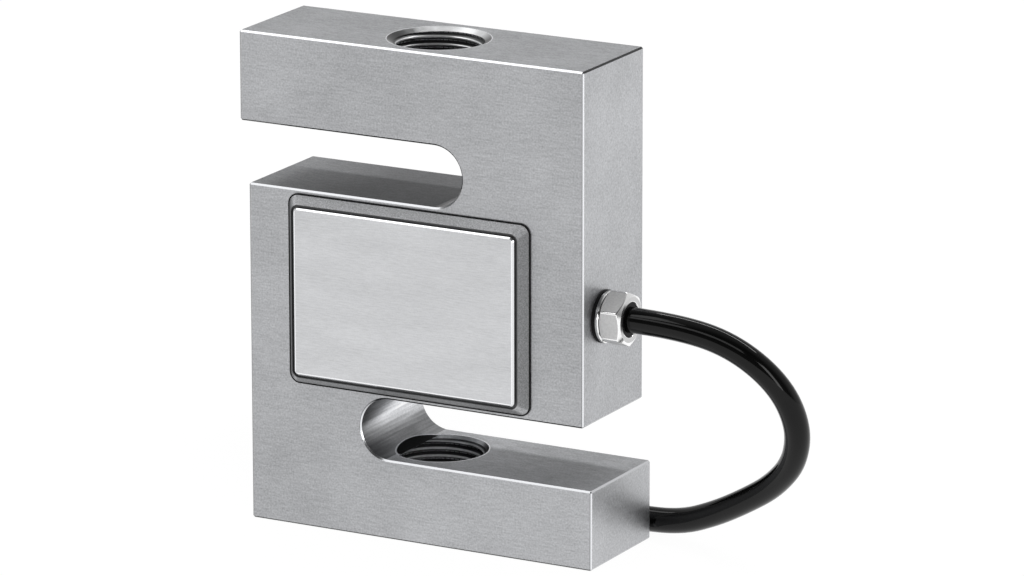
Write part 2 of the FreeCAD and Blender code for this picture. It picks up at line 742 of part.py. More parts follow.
def gauge_jumpers(sign, pad_x):
    """Four fine wires from the gauge tabs to the board's near pads, each over the next."""
    wires = []
    for i, tab_x in enumerate(tab_xs):
        lift = sign * (tab_face + size("jumper_lift") + (3 - i) * size("jumper_step"))
        points = [
            Vector(tab_x, sign * tab_face, tab_z),
            Vector(tab_x, lift, tab_z),
            Vector(pad_x, lift, pad_rises[3 - i]),
            Vector(pad_x, sign * board_face, pad_rises[3 - i]),
        ]
        wires.append(bent_wire(points, size("jumper_radius")))
    return wires


near_front_pad = size("board_side") - size("board_width") / 2 + size("pad_inset")
near_rear_pad = size("board_side") - size("strip_width") / 2 + size("pad_inset")
far_rear_pad = size("board_side") + size("strip_width") / 2 - size("pad_inset")
far_front_pad = size("board_side") + size("board_width") / 2 - size("pad_inset")
shaped("front_gauge_wires", Part.Compound(gauge_jumpers(-1, near_front_pad)))
shaped("rear_gauge_wires", Part.Compound(gauge_jumpers(1, near_rear_pad)))


def link_wires():
    """Four wires from the rear board, through the hole in the web, to the front board's top."""
    wires = []
    hole_x, hole_z = size("wire_hole_side"), centre_z + size("wire_hole_rise")
    spread = size("link_spread")
    top_z = centre_z + size("board_height") / 2 - size("pad_inset")
    for i in range(4):
        across, up = (-1, 1, -1, 1)[i] * spread, (-1, -1, 1, 1)[i] * spread
        rear_lift = tab_face + size("link_lift") + i * size("jumper_step")
        front_lift = -(board_face + size("jumper_lift") + i * size("jumper_step"))
        end_x = near_front_pad + i * (far_front_pad - near_front_pad) / 3
        points = [
            Vector(far_rear_pad, board_face, pad_rises[i]),
            Vector(far_rear_pad, rear_lift, pad_rises[i]),
            Vector(hole_x + across, rear_lift, hole_z + up),
            Vector(hole_x + across, front_lift, hole_z + up),
            Vector(end_x, front_lift, top_z),
            Vector(end_x, -board_face, top_z),
        ]
        wires.append(bent_wire(points, size("jumper_radius")))
    return wires


shaped("link_wires", Part.Compound(link_wires()))

# The four cores of the cable, from the end of its jacket through the duct to the board.
jacket_end = size("right_reach") - size("cable_inner_reach")
gland_z = evaluate(GLAND_RISE)
pocket_wall = size("pocket_width") / 2
core_names = ("core_green", "core_white", "core_black", "core_red")
for i, name in enumerate(core_names):
    forward = i in (0, 3)
    y = -size("gland_forward") + size("core_spread") * (-1 if forward else 1)
    z = gland_z + (-1, -1, 1, 1)[i] * size("core_spread")
    lift = y - size("core_lift")
    turn_x = pocket_wall - size("core_run_out") * (0.5 if forward else 1.5)
    points = [
        Vector(jacket_end, y, z),
        Vector(turn_x, y, z),
        Vector(far_front_pad, lift, pad_rises[i]),
        Vector(far_front_pad, -board_face, pad_rises[i]),
    ]
    shaped(name, bent_wire(points, size("core_radius")))

# The cable: its jacket starts inside the gland, loops round to the floor, runs along the
# back of the foot and is stored there as a tied coil. Route points are in millimetres.
exit_x = size("right_reach") + evaluate(NUT_END) - 2 * size("bush_recess")
CABLE_ROUTE = [
    (exit_x, -size("gland_forward"), gland_z),
    (exit_x + size("cable_first_run"), -size("gland_forward"), gland_z),
    (67.2, -3.0, 47.8),
    (75.8, 0.1, 40.5),
    (78.7, 3.6, 31.5),
    (76.3, 7.3, 22.6),
    (70.0, 10.5, 15.8),
    (62.6, 12.6, 11.0),
    (55.0, 14.4, 6.8),
    (46.6, 15.7, 3.4),
    (36.0, 16.4, 2.7),
    (23.0, 17.4, 2.7),
    (10.0, 18.8, 2.7),
    (-2.5, 19.6, 2.9),
    (-16.0, 19.91, 3.7),
]
radius = size("cable_radius")
angle = math.radians(size("coil_angle"))
turn_radius, straight = size("coil_turn_radius"), size("coil_straight")
coil_place = Placement(
    Vector(size("coil_side"), size("coil_back"), 0), Rotation(Vector(0, 0, 1), size("coil_angle")))
near_centre = coil_place.multVec(Vector(0, -straight / 2, 0))
join_y, join_z = near_centre.y - turn_radius, size("coil_floor_gap") + radius
stub_end = Vector(near_centre.x + size("coil_stub"), join_y, join_z)


def cable_bend(points):
    """Each arc of the cable is as large as its two runs allow."""
    def radius_at(i):
        runs = (points[i] - points[i - 1]).Length, (points[i + 1] - points[i]).Length
        turned = (points[i] - points[i - 1]).getAngle(points[i + 1] - points[i])
        return 0.45 * min(runs) / math.tan(turned / 2)
    return radius_at


route = [Vector(*p) for p in CABLE_ROUTE] + [stub_end]
bends = cable_bend(route)
lead_path = smooth_path(route, bends)
lead = swept(lead_path, radius, False)
inner_start = Vector(jacket_end, route[0].y, route[0].z)
inner = Part.makeCylinder(radius, route[0].x - jacket_end, inner_start, Vector(1, 0, 0))
shaped("cable_lead", lead.fuse(inner).removeSplitter())
print("cable radii", [round(bends(i)) for i in range(1, len(route) - 1)])
print("cable length before the coil", round(lead_path.Length + inner.BoundBox.XLength, 1))


def oval(turn_at, low, tall):
    """A solid oval about the coil's centre, its long side along local Y."""
    half = straight / 2
    corners = ((1, -1), (1, 1), (-1, 1), (-1, -1))
    ends = [Vector(turn_at * across, half * along, low) for across, along in corners]
    edges = [
        Part.LineSegment(ends[0], ends[1]).toShape(),
        Part.Arc(ends[1], Vector(0, half + turn_at, low), ends[2]).toShape(),
        Part.LineSegment(ends[2], ends[3]).toShape(),
        Part.Arc(ends[3], Vector(0, -half - turn_at, low), ends[0]).toShape(),
    ]
    return Part.Face(Part.Wire(edges)).extrude(Vector(0, 0, tall))


def make_coil():
    """The outer shape of the stacked turns, with the start of the first turn as a stub."""
    low, tall = size("coil_floor_gap"), 2 * radius * size("coil_turns")
    ring = oval(turn_radius + radius, low, tall).cut(oval(turn_radius - radius, low, tall))
    level = [e for e in ring.Edges if e.BoundBox.ZLength < 1e-6]
    ring = ring.makeChamfer(size("coil_edge"), level)
    ring.Placement = coil_place
    stub = Part.makeCylinder(
        radius, size("coil_stub"), Vector(near_centre.x, join_y, join_z), Vector(1, 0, 0))
    return ring.fuse(stub).removeSplitter()


coil = make_coil()
shaped("cable_coil", coil)


def make_tie(turned, turns):
    """A flat tie round the coil's turns at this angle of its end arcs, its square head outside."""
    gap, thick, wide = size("tie_clearance"), size("tie_thickness"), size("tie_width")
    inside_x = 2 * (radius + size("tie_side_clearance"))
    inside_z = 2 * radius * turns + 2 * gap
    low = size("coil_floor_gap") - gap
    outer_start = Vector(-inside_x / 2 - thick, -wide / 2, low - thick)
    outer = Part.makeBox(inside_x + 2 * thick, wide, inside_z + 2 * thick, outer_start)
    inner = Part.makeBox(inside_x, wide, inside_z, Vector(-inside_x / 2, -wide / 2, low))
    head, deep = size("tie_head"), size("tie_head_depth")
    block = Part.makeBox(deep, head, head, Vector(inside_x / 2, -head / 2, size("tie_head_rise")))
    tie = outer.fuse(block).cut(inner).removeSplitter()
    about_z = Rotation(Vector(0, 0, 1), turned)
    arc_centre = Vector(0, math.copysign(straight / 2, turned), 0)
    tie_place = Placement(arc_centre + about_z.multVec(Vector(turn_radius, 0, 0)), about_z)
    tie.Placement = coil_place.multiply(tie_place)
    return tie


coil_turns = size("coil_turns")
shaped("coil_tie_left", make_tie(size("left_tie_turn"), coil_turns + 1))
shaped("coil_tie_right", make_tie(size("right_tie_turn"), coil_turns + 1))

# The far end of the cable lies on top of the coil: a shrunk sleeve, then four bare cores.
# Two of them lie on the coil, and the other two on those.
top_z = size("coil_floor_gap") + 2 * radius * coil_turns
sleeve_start = Vector(turn_radius, straight / 2, top_z + size("sleeve_radius"))
sleeve = Part.makeCylinder(size("sleeve_radius"), size("sleeve_run"), sleeve_start, Vector(0, -1, 0))
sleeve = sleeve.makeChamfer(size("sleeve_edge"), [sleeve.Edges[0], sleeve.Edges[2]])
sleeve.Placement = coil_place
shaped("end_sleeve", sleeve)
tail_core, tail_step = size("tail_core_radius"), size("tail_run") / 3
tail_offset = size("tail_core_offset")
for name, aside, upper in (
    ("end_core_red", -1, 1),
    ("end_core_black", -1, 0),
    ("end_core_green", 1, 0),
    ("end_core_white", 1, 1),
):
    start_z = sleeve_start.z + (2 * upper - 1) * tail_offset
    end_z = top_z + tail_core + 2 * upper * tail_offset
    start_y = sleeve_start.y - size("sleeve_run")
    start_x = turn_radius + aside * tail_offset
    end_x = turn_radius + aside * size("upper_tail_side" if upper else "lower_tail_side")
    points = [
        Vector(start_x, start_y, start_z),
        Vector(start_x, start_y - tail_step / 2, start_z),
        Vector((start_x + end_x) / 2, start_y - 2 * tail_step, end_z),
        Vector(end_x, start_y - 3 * tail_step, end_z),
    ]
    wire = bent_wire(points, tail_core)
    wire.Placement = coil_place
    shaped(name, wire)

doc.recompute()
for obj in doc.Objects:
    if "Invalid" in obj.State or "Error" in obj.State:
        raise ValueError(f"{obj.Label} failed: {obj.State}")
os.makedirs("parts", exist_ok=True)
for piece in parts:
    shape = piece.Shape
    if shape.isNull() or not shape.isValid() or not shape.Solids:
        raise ValueError(f"{piece.Label} has no valid shape")
    shape.exportStep(os.path.join("parts", f"{piece.Label}.step"))
print(len(parts), "pieces")
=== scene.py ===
import math

import bmesh
import bpy
from mathutils import Matrix, Vector


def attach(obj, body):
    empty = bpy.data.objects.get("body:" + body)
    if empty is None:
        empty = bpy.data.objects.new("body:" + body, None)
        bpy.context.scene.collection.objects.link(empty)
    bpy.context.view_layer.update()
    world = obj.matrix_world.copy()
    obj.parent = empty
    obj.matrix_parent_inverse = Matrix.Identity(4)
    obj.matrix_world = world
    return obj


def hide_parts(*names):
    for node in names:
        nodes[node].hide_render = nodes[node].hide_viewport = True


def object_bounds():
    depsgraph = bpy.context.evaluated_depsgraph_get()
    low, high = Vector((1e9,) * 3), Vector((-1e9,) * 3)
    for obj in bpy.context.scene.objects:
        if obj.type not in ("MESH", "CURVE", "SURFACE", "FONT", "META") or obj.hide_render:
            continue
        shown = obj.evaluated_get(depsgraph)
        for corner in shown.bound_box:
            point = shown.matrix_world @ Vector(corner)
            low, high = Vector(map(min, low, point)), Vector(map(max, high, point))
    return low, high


# An S type load cell of brushed steel, with its cover, its cable gland and its black cable.
# Metres, but for the numbers of the cable's route, its coil, its ties, its end and the nut, which are
# millimetres. The origin is where the axis of the threaded holes meets the bottom face.
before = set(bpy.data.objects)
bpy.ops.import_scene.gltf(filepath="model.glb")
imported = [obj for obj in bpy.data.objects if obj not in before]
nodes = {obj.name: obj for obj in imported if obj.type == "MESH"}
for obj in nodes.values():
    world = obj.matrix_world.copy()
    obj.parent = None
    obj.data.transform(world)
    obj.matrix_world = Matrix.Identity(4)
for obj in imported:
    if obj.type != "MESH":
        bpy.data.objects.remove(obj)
cad_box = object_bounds()
MM = 0.001
BODY = "root"


def add_object(name, data):
    made = bpy.data.objects.new(name, data)
    bpy.context.scene.collection.objects.link(made)
    return made


# Camera
CAMERA_TARGET = Vector((0.02337, -0.0127, 0.05606))
CAMERA_DISTANCE = 1.3695
CAMERA_AZIMUTH = math.radians(28.618)
CAMERA_ELEVATION = math.radians(15.124)
CAMERA_ROLL = math.radians(-0.068)
CAMERA_LENS = 243.63
SENSOR_WIDTH = 36.0


def make_camera():
    data = bpy.data.cameras.new("camera")
    data.lens = CAMERA_LENS
    data.sensor_width = SENSOR_WIDTH
    data.clip_start = 0.01
    data.clip_end = 100.0
    camera = add_object("camera", data)
    level = math.cos(CAMERA_ELEVATION)
    away = Vector((
        math.sin(CAMERA_AZIMUTH) * level,
        -math.cos(CAMERA_AZIMUTH) * level,
        math.sin(CAMERA_ELEVATION),
    ))
    camera.location = CAMERA_TARGET + away * CAMERA_DISTANCE
    facing = (-away).to_track_quat("-Z", "Y").to_matrix()
    camera.rotation_euler = (facing @ Matrix.Rotation(CAMERA_ROLL, 3, "Z")).to_euler()
    bpy.context.scene.camera = camera


make_camera()


# The cable. Its route repeats the construction's points, from the gland to the coil.
CABLE_RADIUS = 2.6 * MM
GLAND_EXIT = (44.9, -4.0, 50.3)
CABLE_ROUTE = [
    GLAND_EXIT,
    (55.4, -4.0, 50.3),
    (67.2, -3.0, 47.8),
    (75.8, 0.1, 40.5),
    (78.7, 3.6, 31.5),
    (76.3, 7.3, 22.6),
    (70.0, 10.5, 15.8),
    (62.6, 12.6, 11.0),
    (55.0, 14.4, 6.8),
    (46.6, 15.7, 3.4),
    (36.0, 16.4, 2.7),
    (23.0, 17.4, 2.7),
    (10.0, 18.8, 2.7),
    (-2.5, 19.6, 2.9),
    (-16.0, 19.91, 3.7),
    (-28.52, 19.91, 3.7),
]
COIL_CENTRE = Vector((-50.7, 47.28, 0.0))
COIL_ANGLE = 28.6
COIL_TURN_RADIUS = 14.2
COIL_HALF_STRAIGHT = 15.0
COIL_BASE = 3.7
COIL_PITCH = 5.2
COIL_TURNS = 8
ARC_STEPS = 8
CLIMB_END = 46.0
LAST_RUN = 2.5
coil_matrix = Matrix.Translation(COIL_CENTRE) @ Matrix.Rotation(math.radians(COIL_ANGLE), 4, "Z")


def coil_turn(first_level, climbs):
    """Control points of one turn, from the join on the near arc round to the join again."""
    step = math.pi / ARC_STEPS
    corner = COIL_TURN_RADIUS / math.cos(step / 2)
    inset = COIL_HALF_STRAIGHT - COIL_TURN_RADIUS * math.tan(step / 2)
    join = -math.pi / 2 - math.radians(COIL_ANGLE)
    level = COIL_BASE + COIL_PITCH * first_level
    points = []
    for k in range(3, 0, -1):
        turned = -math.pi + (k - 0.5) * step
        if turned < join:
            points.append((corner * math.cos(turned), corner * math.sin(turned) - COIL_HALF_STRAIGHT, level))
    points += [(-COIL_TURN_RADIUS, y, level) for y in (-inset, 0.0, inset)]
    for k in range(ARC_STEPS):
        turned = math.pi - (k + 0.5) * step
        points.append((corner * math.cos(turned), corner * math.sin(turned) + COIL_HALF_STRAIGHT, level))
    if not climbs:
        points.append((COIL_TURN_RADIUS, COIL_HALF_STRAIGHT, level))
        points.append((COIL_TURN_RADIUS, COIL_HALF_STRAIGHT - LAST_RUN, level))
        return points
    points += [(COIL_TURN_RADIUS, y, level) for y in (inset, 0.0, -inset)]
    climb_end = join + math.radians(CLIMB_END)
    for k in range(ARC_STEPS):
        turned = -(k + 0.5) * step
        if turned > join:
            share = min(1.0, turned / climb_end)
            z = level + COIL_PITCH * share
            points.append((corner * math.cos(turned), corner * math.sin(turned) - COIL_HALF_STRAIGHT, z))
    return points


def cable_points():
    points = [Vector(p) for p in CABLE_ROUTE]
    for turn in range(COIL_TURNS):
        points += [coil_matrix @ Vector(p) for p in coil_turn(turn, True)]
    points += [coil_matrix @ Vector(p) for p in coil_turn(COIL_TURNS, False)]
    return [p * MM for p in points]


def smooth_curve(name, points, radius, segments=8):
    """A round cord along one smooth line with these control points.

    The thickness is the points' own radius, so that the curve's box fits the cord.
    """
    data = bpy.data.curves.new(name, "CURVE")
    data.dimensions = "3D"
    data.bevel_depth = 1.0
    data.bevel_resolution = segments
    data.use_fill_caps = True
    spline = data.splines.new("NURBS")
    spline.points.add(len(points) - 1)
    for point, place in zip(spline.points, points):
        point.co = (*place, 1.0)
        point.radius = radius
    spline.order_u = 3
    spline.use_endpoint_u = True
    spline.resolution_u = 8
    return add_object(name, data)


def coil_point(x, y, z):
    """A place given along and across the coil, in millimetres, as one in the row frame."""
    return coil_matrix @ Vector((x, y, z)) * MM


# The bare end on top of the coil: four insulated cores, each with a tinned tip.
SLEEVE_START = 15.0
SLEEVE_END = 3.0
SLEEVE_LEVEL = 45.8
CORE_HIDDEN = 1.5
CORE_RADIUS = 0.6 * MM
TIP_BARE = 2.2
TIP_BENT = 1.2
TIP_HIDDEN = 0.4
TIP_RADIUS = 0.36 * MM
# side of the sleeve, offset there, level there, offset at the end, level at the end, run
CORE_PATHS = {
    "red": (-0.66, 46.46, -1.30, 44.5, 9.0),
    "black": (-0.66, 45.14, -1.75, 43.3, 8.6),
    "green": (0.66, 45.14, 1.60, 43.3, 9.0),
    "white": (0.66, 46.46, 1.10, 44.6, 8.4),
}
end_pieces = []
bare_cores = {}
core_tips = []
for word, (start_x, start_z, end_x, end_z, run) in CORE_PATHS.items():
    near, far = COIL_TURN_RADIUS + start_x, COIL_TURN_RADIUS + end_x
    half_way = (near + far) / 2
    line = [
        coil_point(near, SLEEVE_END + CORE_HIDDEN, start_z),
        coil_point(near, SLEEVE_END - 0.25 * run, start_z - 0.1),
        coil_point(half_way, SLEEVE_END - 0.55 * run, (start_z + end_z) / 2),
        coil_point(far, SLEEVE_END - 0.80 * run, end_z),
        coil_point(far, SLEEVE_END - run + TIP_BARE, end_z),
    ]
    core = smooth_curve(f"bare_core_{word}", line, CORE_RADIUS, 3)
    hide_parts(f"end_core_{word}")
    tip_line = [
        coil_point(far, SLEEVE_END - run + TIP_BARE + TIP_HIDDEN, end_z),
        coil_point(far, SLEEVE_END - run + TIP_BENT, end_z),
        coil_point(far, SLEEVE_END - run, end_z),
    ]
    tip = smooth_curve(f"core_tip_{word}", tip_line, TIP_RADIUS, 2)
    bare_cores[word] = core
    core_tips.append(tip)
    end_pieces += [core, tip]


def closed_mesh(name, mesh, sharp_from=None):
    """Turn an edited mesh into a smooth piece, with edges sharp from this angle in degrees."""
    bmesh.ops.recalc_face_normals(mesh, faces=mesh.faces)
    for face in mesh.faces:
        face.smooth = True
    data = bpy.data.meshes.new(name)
    mesh.to_mesh(data)
    mesh.free()
    if sharp_from:
        data.set_sharp_from_angle(angle=math.radians(sharp_from))
    return add_object(name, data)


def skin(mesh, rings, closed_path=False):
    """Join rings of points with faces, and cap both ends unless the path is closed."""
    made = [[mesh.verts.new(p) for p in ring] for ring in rings]
    pairs = list(zip(made, made[1:]))
    if closed_path:
        pairs.append((made[-1], made[0]))
    for first, second in pairs:
        for i in range(len(first)):
            j = (i + 1) % len(first)
            mesh.faces.new((first[i], first[j], second[j], second[i]))
    if not closed_path:
        mesh.faces.new(list(reversed(made[0])))
        mesh.faces.new(made[-1])


def make_sleeve():
    """The shrunk sleeve: rounded over the jacket's end and drawn in on the cores."""
    profile = [
        (0.0, 2.70), (0.15, 3.0), (0.5, 3.1), (3.0, 3.08), (6.5, 3.02),
        (9.0, 2.6), (10.6, 2.0), (11.7, 1.75), (12.0, 1.6),
    ]
    mesh = bmesh.new()
    rings = []
    for run, radius in profile:
        ring = []
        for k in range(32):
            turned = 2 * math.pi * k / 32
            x = COIL_TURN_RADIUS + radius * math.cos(turned)
            ring.append(coil_point(x, SLEEVE_START - run, SLEEVE_LEVEL + radius * math.sin(turned)))
        rings.append(ring)
    skin(mesh, rings)
    return closed_mesh("shrink_sleeve", mesh)


TIE_HALF_WIDTH = 1.8
TIE_INSIDE = 2.8
TIE_LOW = 1.05
TIE_HIGH = 47.95
TIE_BAND = 0.95
TIE_ROUND = 1.3
TIE_EDGE = 0.2
TIE_HEAD_LEVEL = 28.3
TIE_HEAD_HALF = 2.3
TIE_HEAD_CORNER = 0.5
TAIL_STEPS = 8
TAIL_START = 1.9
TAIL_LENGTH = 8.5
TAIL_OUT = 1.35
TAIL_LEAN = 0.7
TAIL_THICK = 0.8
TAIL_HALF_WIDTH = 1.5
# how far out each ring of the head lies, and how far it is drawn in
TIE_HEAD_RINGS = ((0.3, 0.0), (2.7, 0.0), (3.05, 0.12), (3.2, 0.45))


def tie_loop(offset):
    """The tie's rounded loop in its own plane, this far outside its inner face."""
    half, round_by = TIE_INSIDE + offset, TIE_ROUND + offset
    points = []
    corners = ((half, TIE_HIGH + offset, 0.0), (-half, TIE_HIGH + offset, 90.0),
               (-half, TIE_LOW - offset, 180.0), (half, TIE_LOW - offset, 270.0))
    for x, z, start in corners:
        middle_x = x - math.copysign(round_by, x)
        middle_z = z - round_by if start < 180.0 else z + round_by
        for k in range(7):
            turned = math.radians(start + 15.0 * k)
            points.append((middle_x + round_by * math.cos(turned), middle_z + round_by * math.sin(turned)))
    return points


def make_tie(name, turned):
    """A cable tie round all the turns, with its head and a trimmed tail on the outside."""
    about_z = Matrix.Rotation(math.radians(turned), 4, "Z")
    arc_centre = Vector((0.0, math.copysign(COIL_HALF_STRAIGHT, turned), 0.0))
    outward = Matrix.Translation((COIL_TURN_RADIUS, 0.0, 0.0))
    place = coil_matrix @ Matrix.Translation(arc_centre) @ about_z @ outward

    def at(x, y, z):
        return place @ Vector((x, y, z)) * MM

    mesh = bmesh.new()
    flat = TIE_HALF_WIDTH - TIE_EDGE
    section = [
        (-flat, 0.0), (flat, 0.0), (TIE_HALF_WIDTH, TIE_EDGE),
        (TIE_HALF_WIDTH, TIE_BAND - TIE_EDGE), (flat, TIE_BAND), (-flat, TIE_BAND),
        (-TIE_HALF_WIDTH, TIE_BAND - TIE_EDGE), (-TIE_HALF_WIDTH, TIE_EDGE),
    ]
    loops = [(across, tie_loop(offset)) for across, offset in section]
    rings = [[at(loop[k][0], across, loop[k][1]) for across, loop in loops] for k in range(len(loops[0][1]))]
    skin(mesh, rings, closed_path=True)
    head_rings = []
    for x, inset in TIE_HEAD_RINGS:
        square = TIE_HEAD_HALF - inset - TIE_HEAD_CORNER
        outline = []
        for side_y, side_z, start in ((1, 1, 0.0), (-1, 1, 90.0), (-1, -1, 180.0), (1, -1, 270.0)):
            for k in range(4):
                bend = math.radians(start + 30.0 * k)
                y = side_y * square + TIE_HEAD_CORNER * math.cos(bend)
                z = TIE_HEAD_LEVEL + side_z * square + TIE_HEAD_CORNER * math.sin(bend)
                outline.append(at(TIE_INSIDE + x, y, z))
        head_rings.append(outline)
    skin(mesh, head_rings)
    tail_rings = []
    for step in range(TAIL_STEPS + 1):
        share = step / TAIL_STEPS
        z = TIE_HEAD_LEVEL + TAIL_START + TAIL_LENGTH * share
        outer_z = z - 0.25 * share
        inner = TIE_INSIDE + TAIL_OUT + TAIL_LEAN * share * share
        outer = inner + TAIL_THICK
        tail_rings.append([
            at(inner, -TAIL_HALF_WIDTH, z), at(inner, TAIL_HALF_WIDTH, z),
            at(outer, TAIL_HALF_WIDTH, outer_z), at(outer, -TAIL_HALF_WIDTH, outer_z),
        ])
    skin(mesh, tail_rings)
    return closed_mesh(name, mesh)


sleeve = make_sleeve()
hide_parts("end_sleeve")
ties = []
for side, turned in (("left", -135.0), ("right", 60.0)):
    tie = make_tie(f"tie_{side}", turned)
    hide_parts(f"coil_tie_{side}")
    ties.append(tie)
end_pieces.append(sleeve)

cable = smooth_curve("cable", cable_points(), CABLE_RADIUS)
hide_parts("cable_lead", "cable_coil")
for piece in [cable, *ties, *end_pieces]:
    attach(piece, BODY)


# The gland's nut. Millimetres, along X and from the gland's axis.
NUT_AXIS = (-4.0, 50.3)
NUT_BACK = 40.7
NUT_FRONT = 45.4
NUT_FLAT = 5.0
NUT_ROUND = 0.4
NUT_BREAK = 0.12
NUT_FACE_RADIUS = 4.6
NUT_BACK_RADIUS = 4.7
NUT_TURNED = 156.0
NUT_CONE_SLOPE = 0.58
NUT_BORE = 4.0
NUT_MOUTH = 3.55
NUT_LIP = 44.2


def nut_outline():
    """Points round the rounded hexagon, in the plane across its axis."""
    points = []
    centre = (NUT_FLAT - NUT_ROUND) / math.cos(math.radians(30.0))
    corners = []
    for corner in range(6):
        facing = math.radians(NUT_TURNED + 60.0 * corner)
        arc = []
        for k in range(7):
            turned = facing + math.radians(10.0 * k - 30.0)
            arc.append(Vector((
                centre * math.cos(facing) + NUT_ROUND * math.cos(turned),
                centre * math.sin(facing) + NUT_ROUND * math.sin(turned),
            )))
        corners.append(arc)
    for arc, following in zip(corners, corners[1:] + corners[:1]):
        points += arc
        points += [arc[-1].lerp(following[0], k / 10) for k in range(1, 10)]
    return points


def make_nut():
    """The hexagon nut, with cones turned at both ends and broken edges."""
    mesh = bmesh.new()
    rings = []
    for point in nut_outline():
        reach = point.length
        way = point / reach
        front = NUT_FRONT - (reach - NUT_FACE_RADIUS) * NUT_CONE_SLOPE
        back = NUT_BACK + (reach - NUT_BACK_RADIUS) * NUT_CONE_SLOPE
        profile = [
            (NUT_BACK, NUT_BORE), (NUT_BACK, NUT_BACK_RADIUS), (back, reach), (front - NUT_BREAK, reach),
            (front + NUT_BREAK * NUT_CONE_SLOPE, reach - NUT_BREAK), (NUT_FRONT, NUT_FACE_RADIUS),
            (NUT_FRONT, NUT_MOUTH + 0.2), (NUT_FRONT - 0.06, NUT_MOUTH + 0.06), (NUT_FRONT - 0.2, NUT_MOUTH),
            (NUT_LIP, NUT_MOUTH), (NUT_LIP, NUT_BORE),
        ]
        rings.append([
            Vector((x, NUT_AXIS[0] + radius * way.x, NUT_AXIS[1] + radius * way.y)) * MM
            for x, radius in profile
        ])
    skin(mesh, rings, closed_path=True)
    return closed_mesh("hexagon_nut", mesh, 14.0)


hexagon_nut = make_nut()
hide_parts("gland_nut")
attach(hexagon_nut, BODY)


# Levels and sizes of the block, which the materials and the threads share. Metres.
TOP = 101.6 * MM
ARM_UNDER = 83.0 * MM
FOOT_TOP = 16.5 * MM
THREAD_PITCH = 1.5875 * MM
THREAD_MAJOR = 9.525 * MM
THREAD_MINOR = 8.68 * MM
THREAD_BACK = 9.56 * MM
MOUTH_WIDE = 10.5 * MM
MOUTH_DEPTH = 0.56 * MM
MOUTH_SLOPE = (MOUTH_WIDE - THREAD_MAJOR) / MOUTH_DEPTH
BREAK_WIDE = 9.825 * MM
BREAK_DEPTH = 0.3 * MM
BREAK_SLOPE = (BREAK_WIDE - THREAD_MAJOR) / BREAK_DEPTH
HAIR = 0.01 * MM
# Where the block's finish and its painted light and shade change: along X just past the slots' round ends,
# out to the burnished rings' edges, which are painted bright as a highlight, and at heights between its
# faces.
SLOT_REACH = 12.2 * MM
TOP_RING = 10.68 * MM
FOOT_RING = 10.0 * MM
OVER_FOOT_EDGES = 30.0 * MM
OVER_FOOT = 40.0 * MM
OVER_MIDDLE = 80.0 * MM
IN_ARM = 90.0 * MM
UNDER_TOP_EDGES = 95.0 * MM
# The part of the foot slot's round wall that the foot's hole would cut: an ellipse from above. It is painted
# black there as the hole's shade, with a thin rim painted light as a highlight.
CUT_CENTRE = -4.95 * MM
CUT_HALF_LENGTH = 3.2 * MM
CUT_HALF_WIDTH = 8.3 * MM
CUT_TOP = 19.5 * MM
# The cover's plate, its edge and the groove, from the block's middle, and the plate's border, painted bright
# as a highlight.
PLATE_LEVEL = 15.35 * MM
EDGE_LEVEL = 15.19 * MM
GROOVE_TOP = 15.25 * MM
GROOVE_FLOOR = 14.6 * MM
BORDER_SIDE = 24.68 * MM
BORDER_LOW = 32.92 * MM
# From a hole's mouth to about its middle, where the thread's painted shade is darkest.
HOLE_MIDDLE = 8.8 * MM


# Materials
class Nodes:
    """A node tree, with short ways to add to it."""

    def __init__(self, tree):
        self.tree = tree

    def node(self, kind, inputs=None, **settings):
        made = self.tree.nodes.new(kind)
        for word, value in settings.items():
            setattr(made, word, value)
        for key, value in (inputs or {}).items():
            self.feed(made.inputs[key], value)
        return made

    def feed(self, socket, value):
        if isinstance(value, bpy.types.NodeSocket):
            self.tree.links.new(value, socket)
        else:
            socket.default_value = value

    def maths(self, operation, first, second=0.0, third=0.0):
        inputs = {0: first, 1: second, 2: third}
        return self.node("ShaderNodeMath", inputs, operation=operation).outputs[0]

    def times(self, first, second):
        return self.maths("MULTIPLY", first, second)

    def above(self, value, limit):
        return self.maths("GREATER_THAN", value, limit)

    def below(self, value, limit):
        return self.maths("LESS_THAN", value, limit)

    def either(self, first, second):
        return self.maths("MAXIMUM", first, second)

    def outside(self, mask):
        return self.maths("SUBTRACT", 1.0, mask)

    def distance(self, first, second):
        """How far off an axis a place is, from its two offsets."""
        squares = (self.times(offset, offset) for offset in (first, second))
        return self.maths("SQRT", self.maths("ADD", *squares))

    def between(self, value, low, high, at_low=0.0, at_high=1.0):
        """Map a value's range, held at both ends."""
        inputs = {"Value": value, "From Min": low, "From Max": high, "To Min": at_low, "To Max": at_high}
        return self.node("ShaderNodeMapRange", inputs).outputs[0]

    def mix(self, share, first, second):
        inputs = {0: share, 2: first, 3: second}
        return self.node("ShaderNodeMix", inputs, data_type="FLOAT").outputs[0]

    def mix_colour(self, share, first, second):
        inputs = {0: share, 6: first, 7: second}
        return self.node("ShaderNodeMix", inputs, data_type="RGBA").outputs[2]


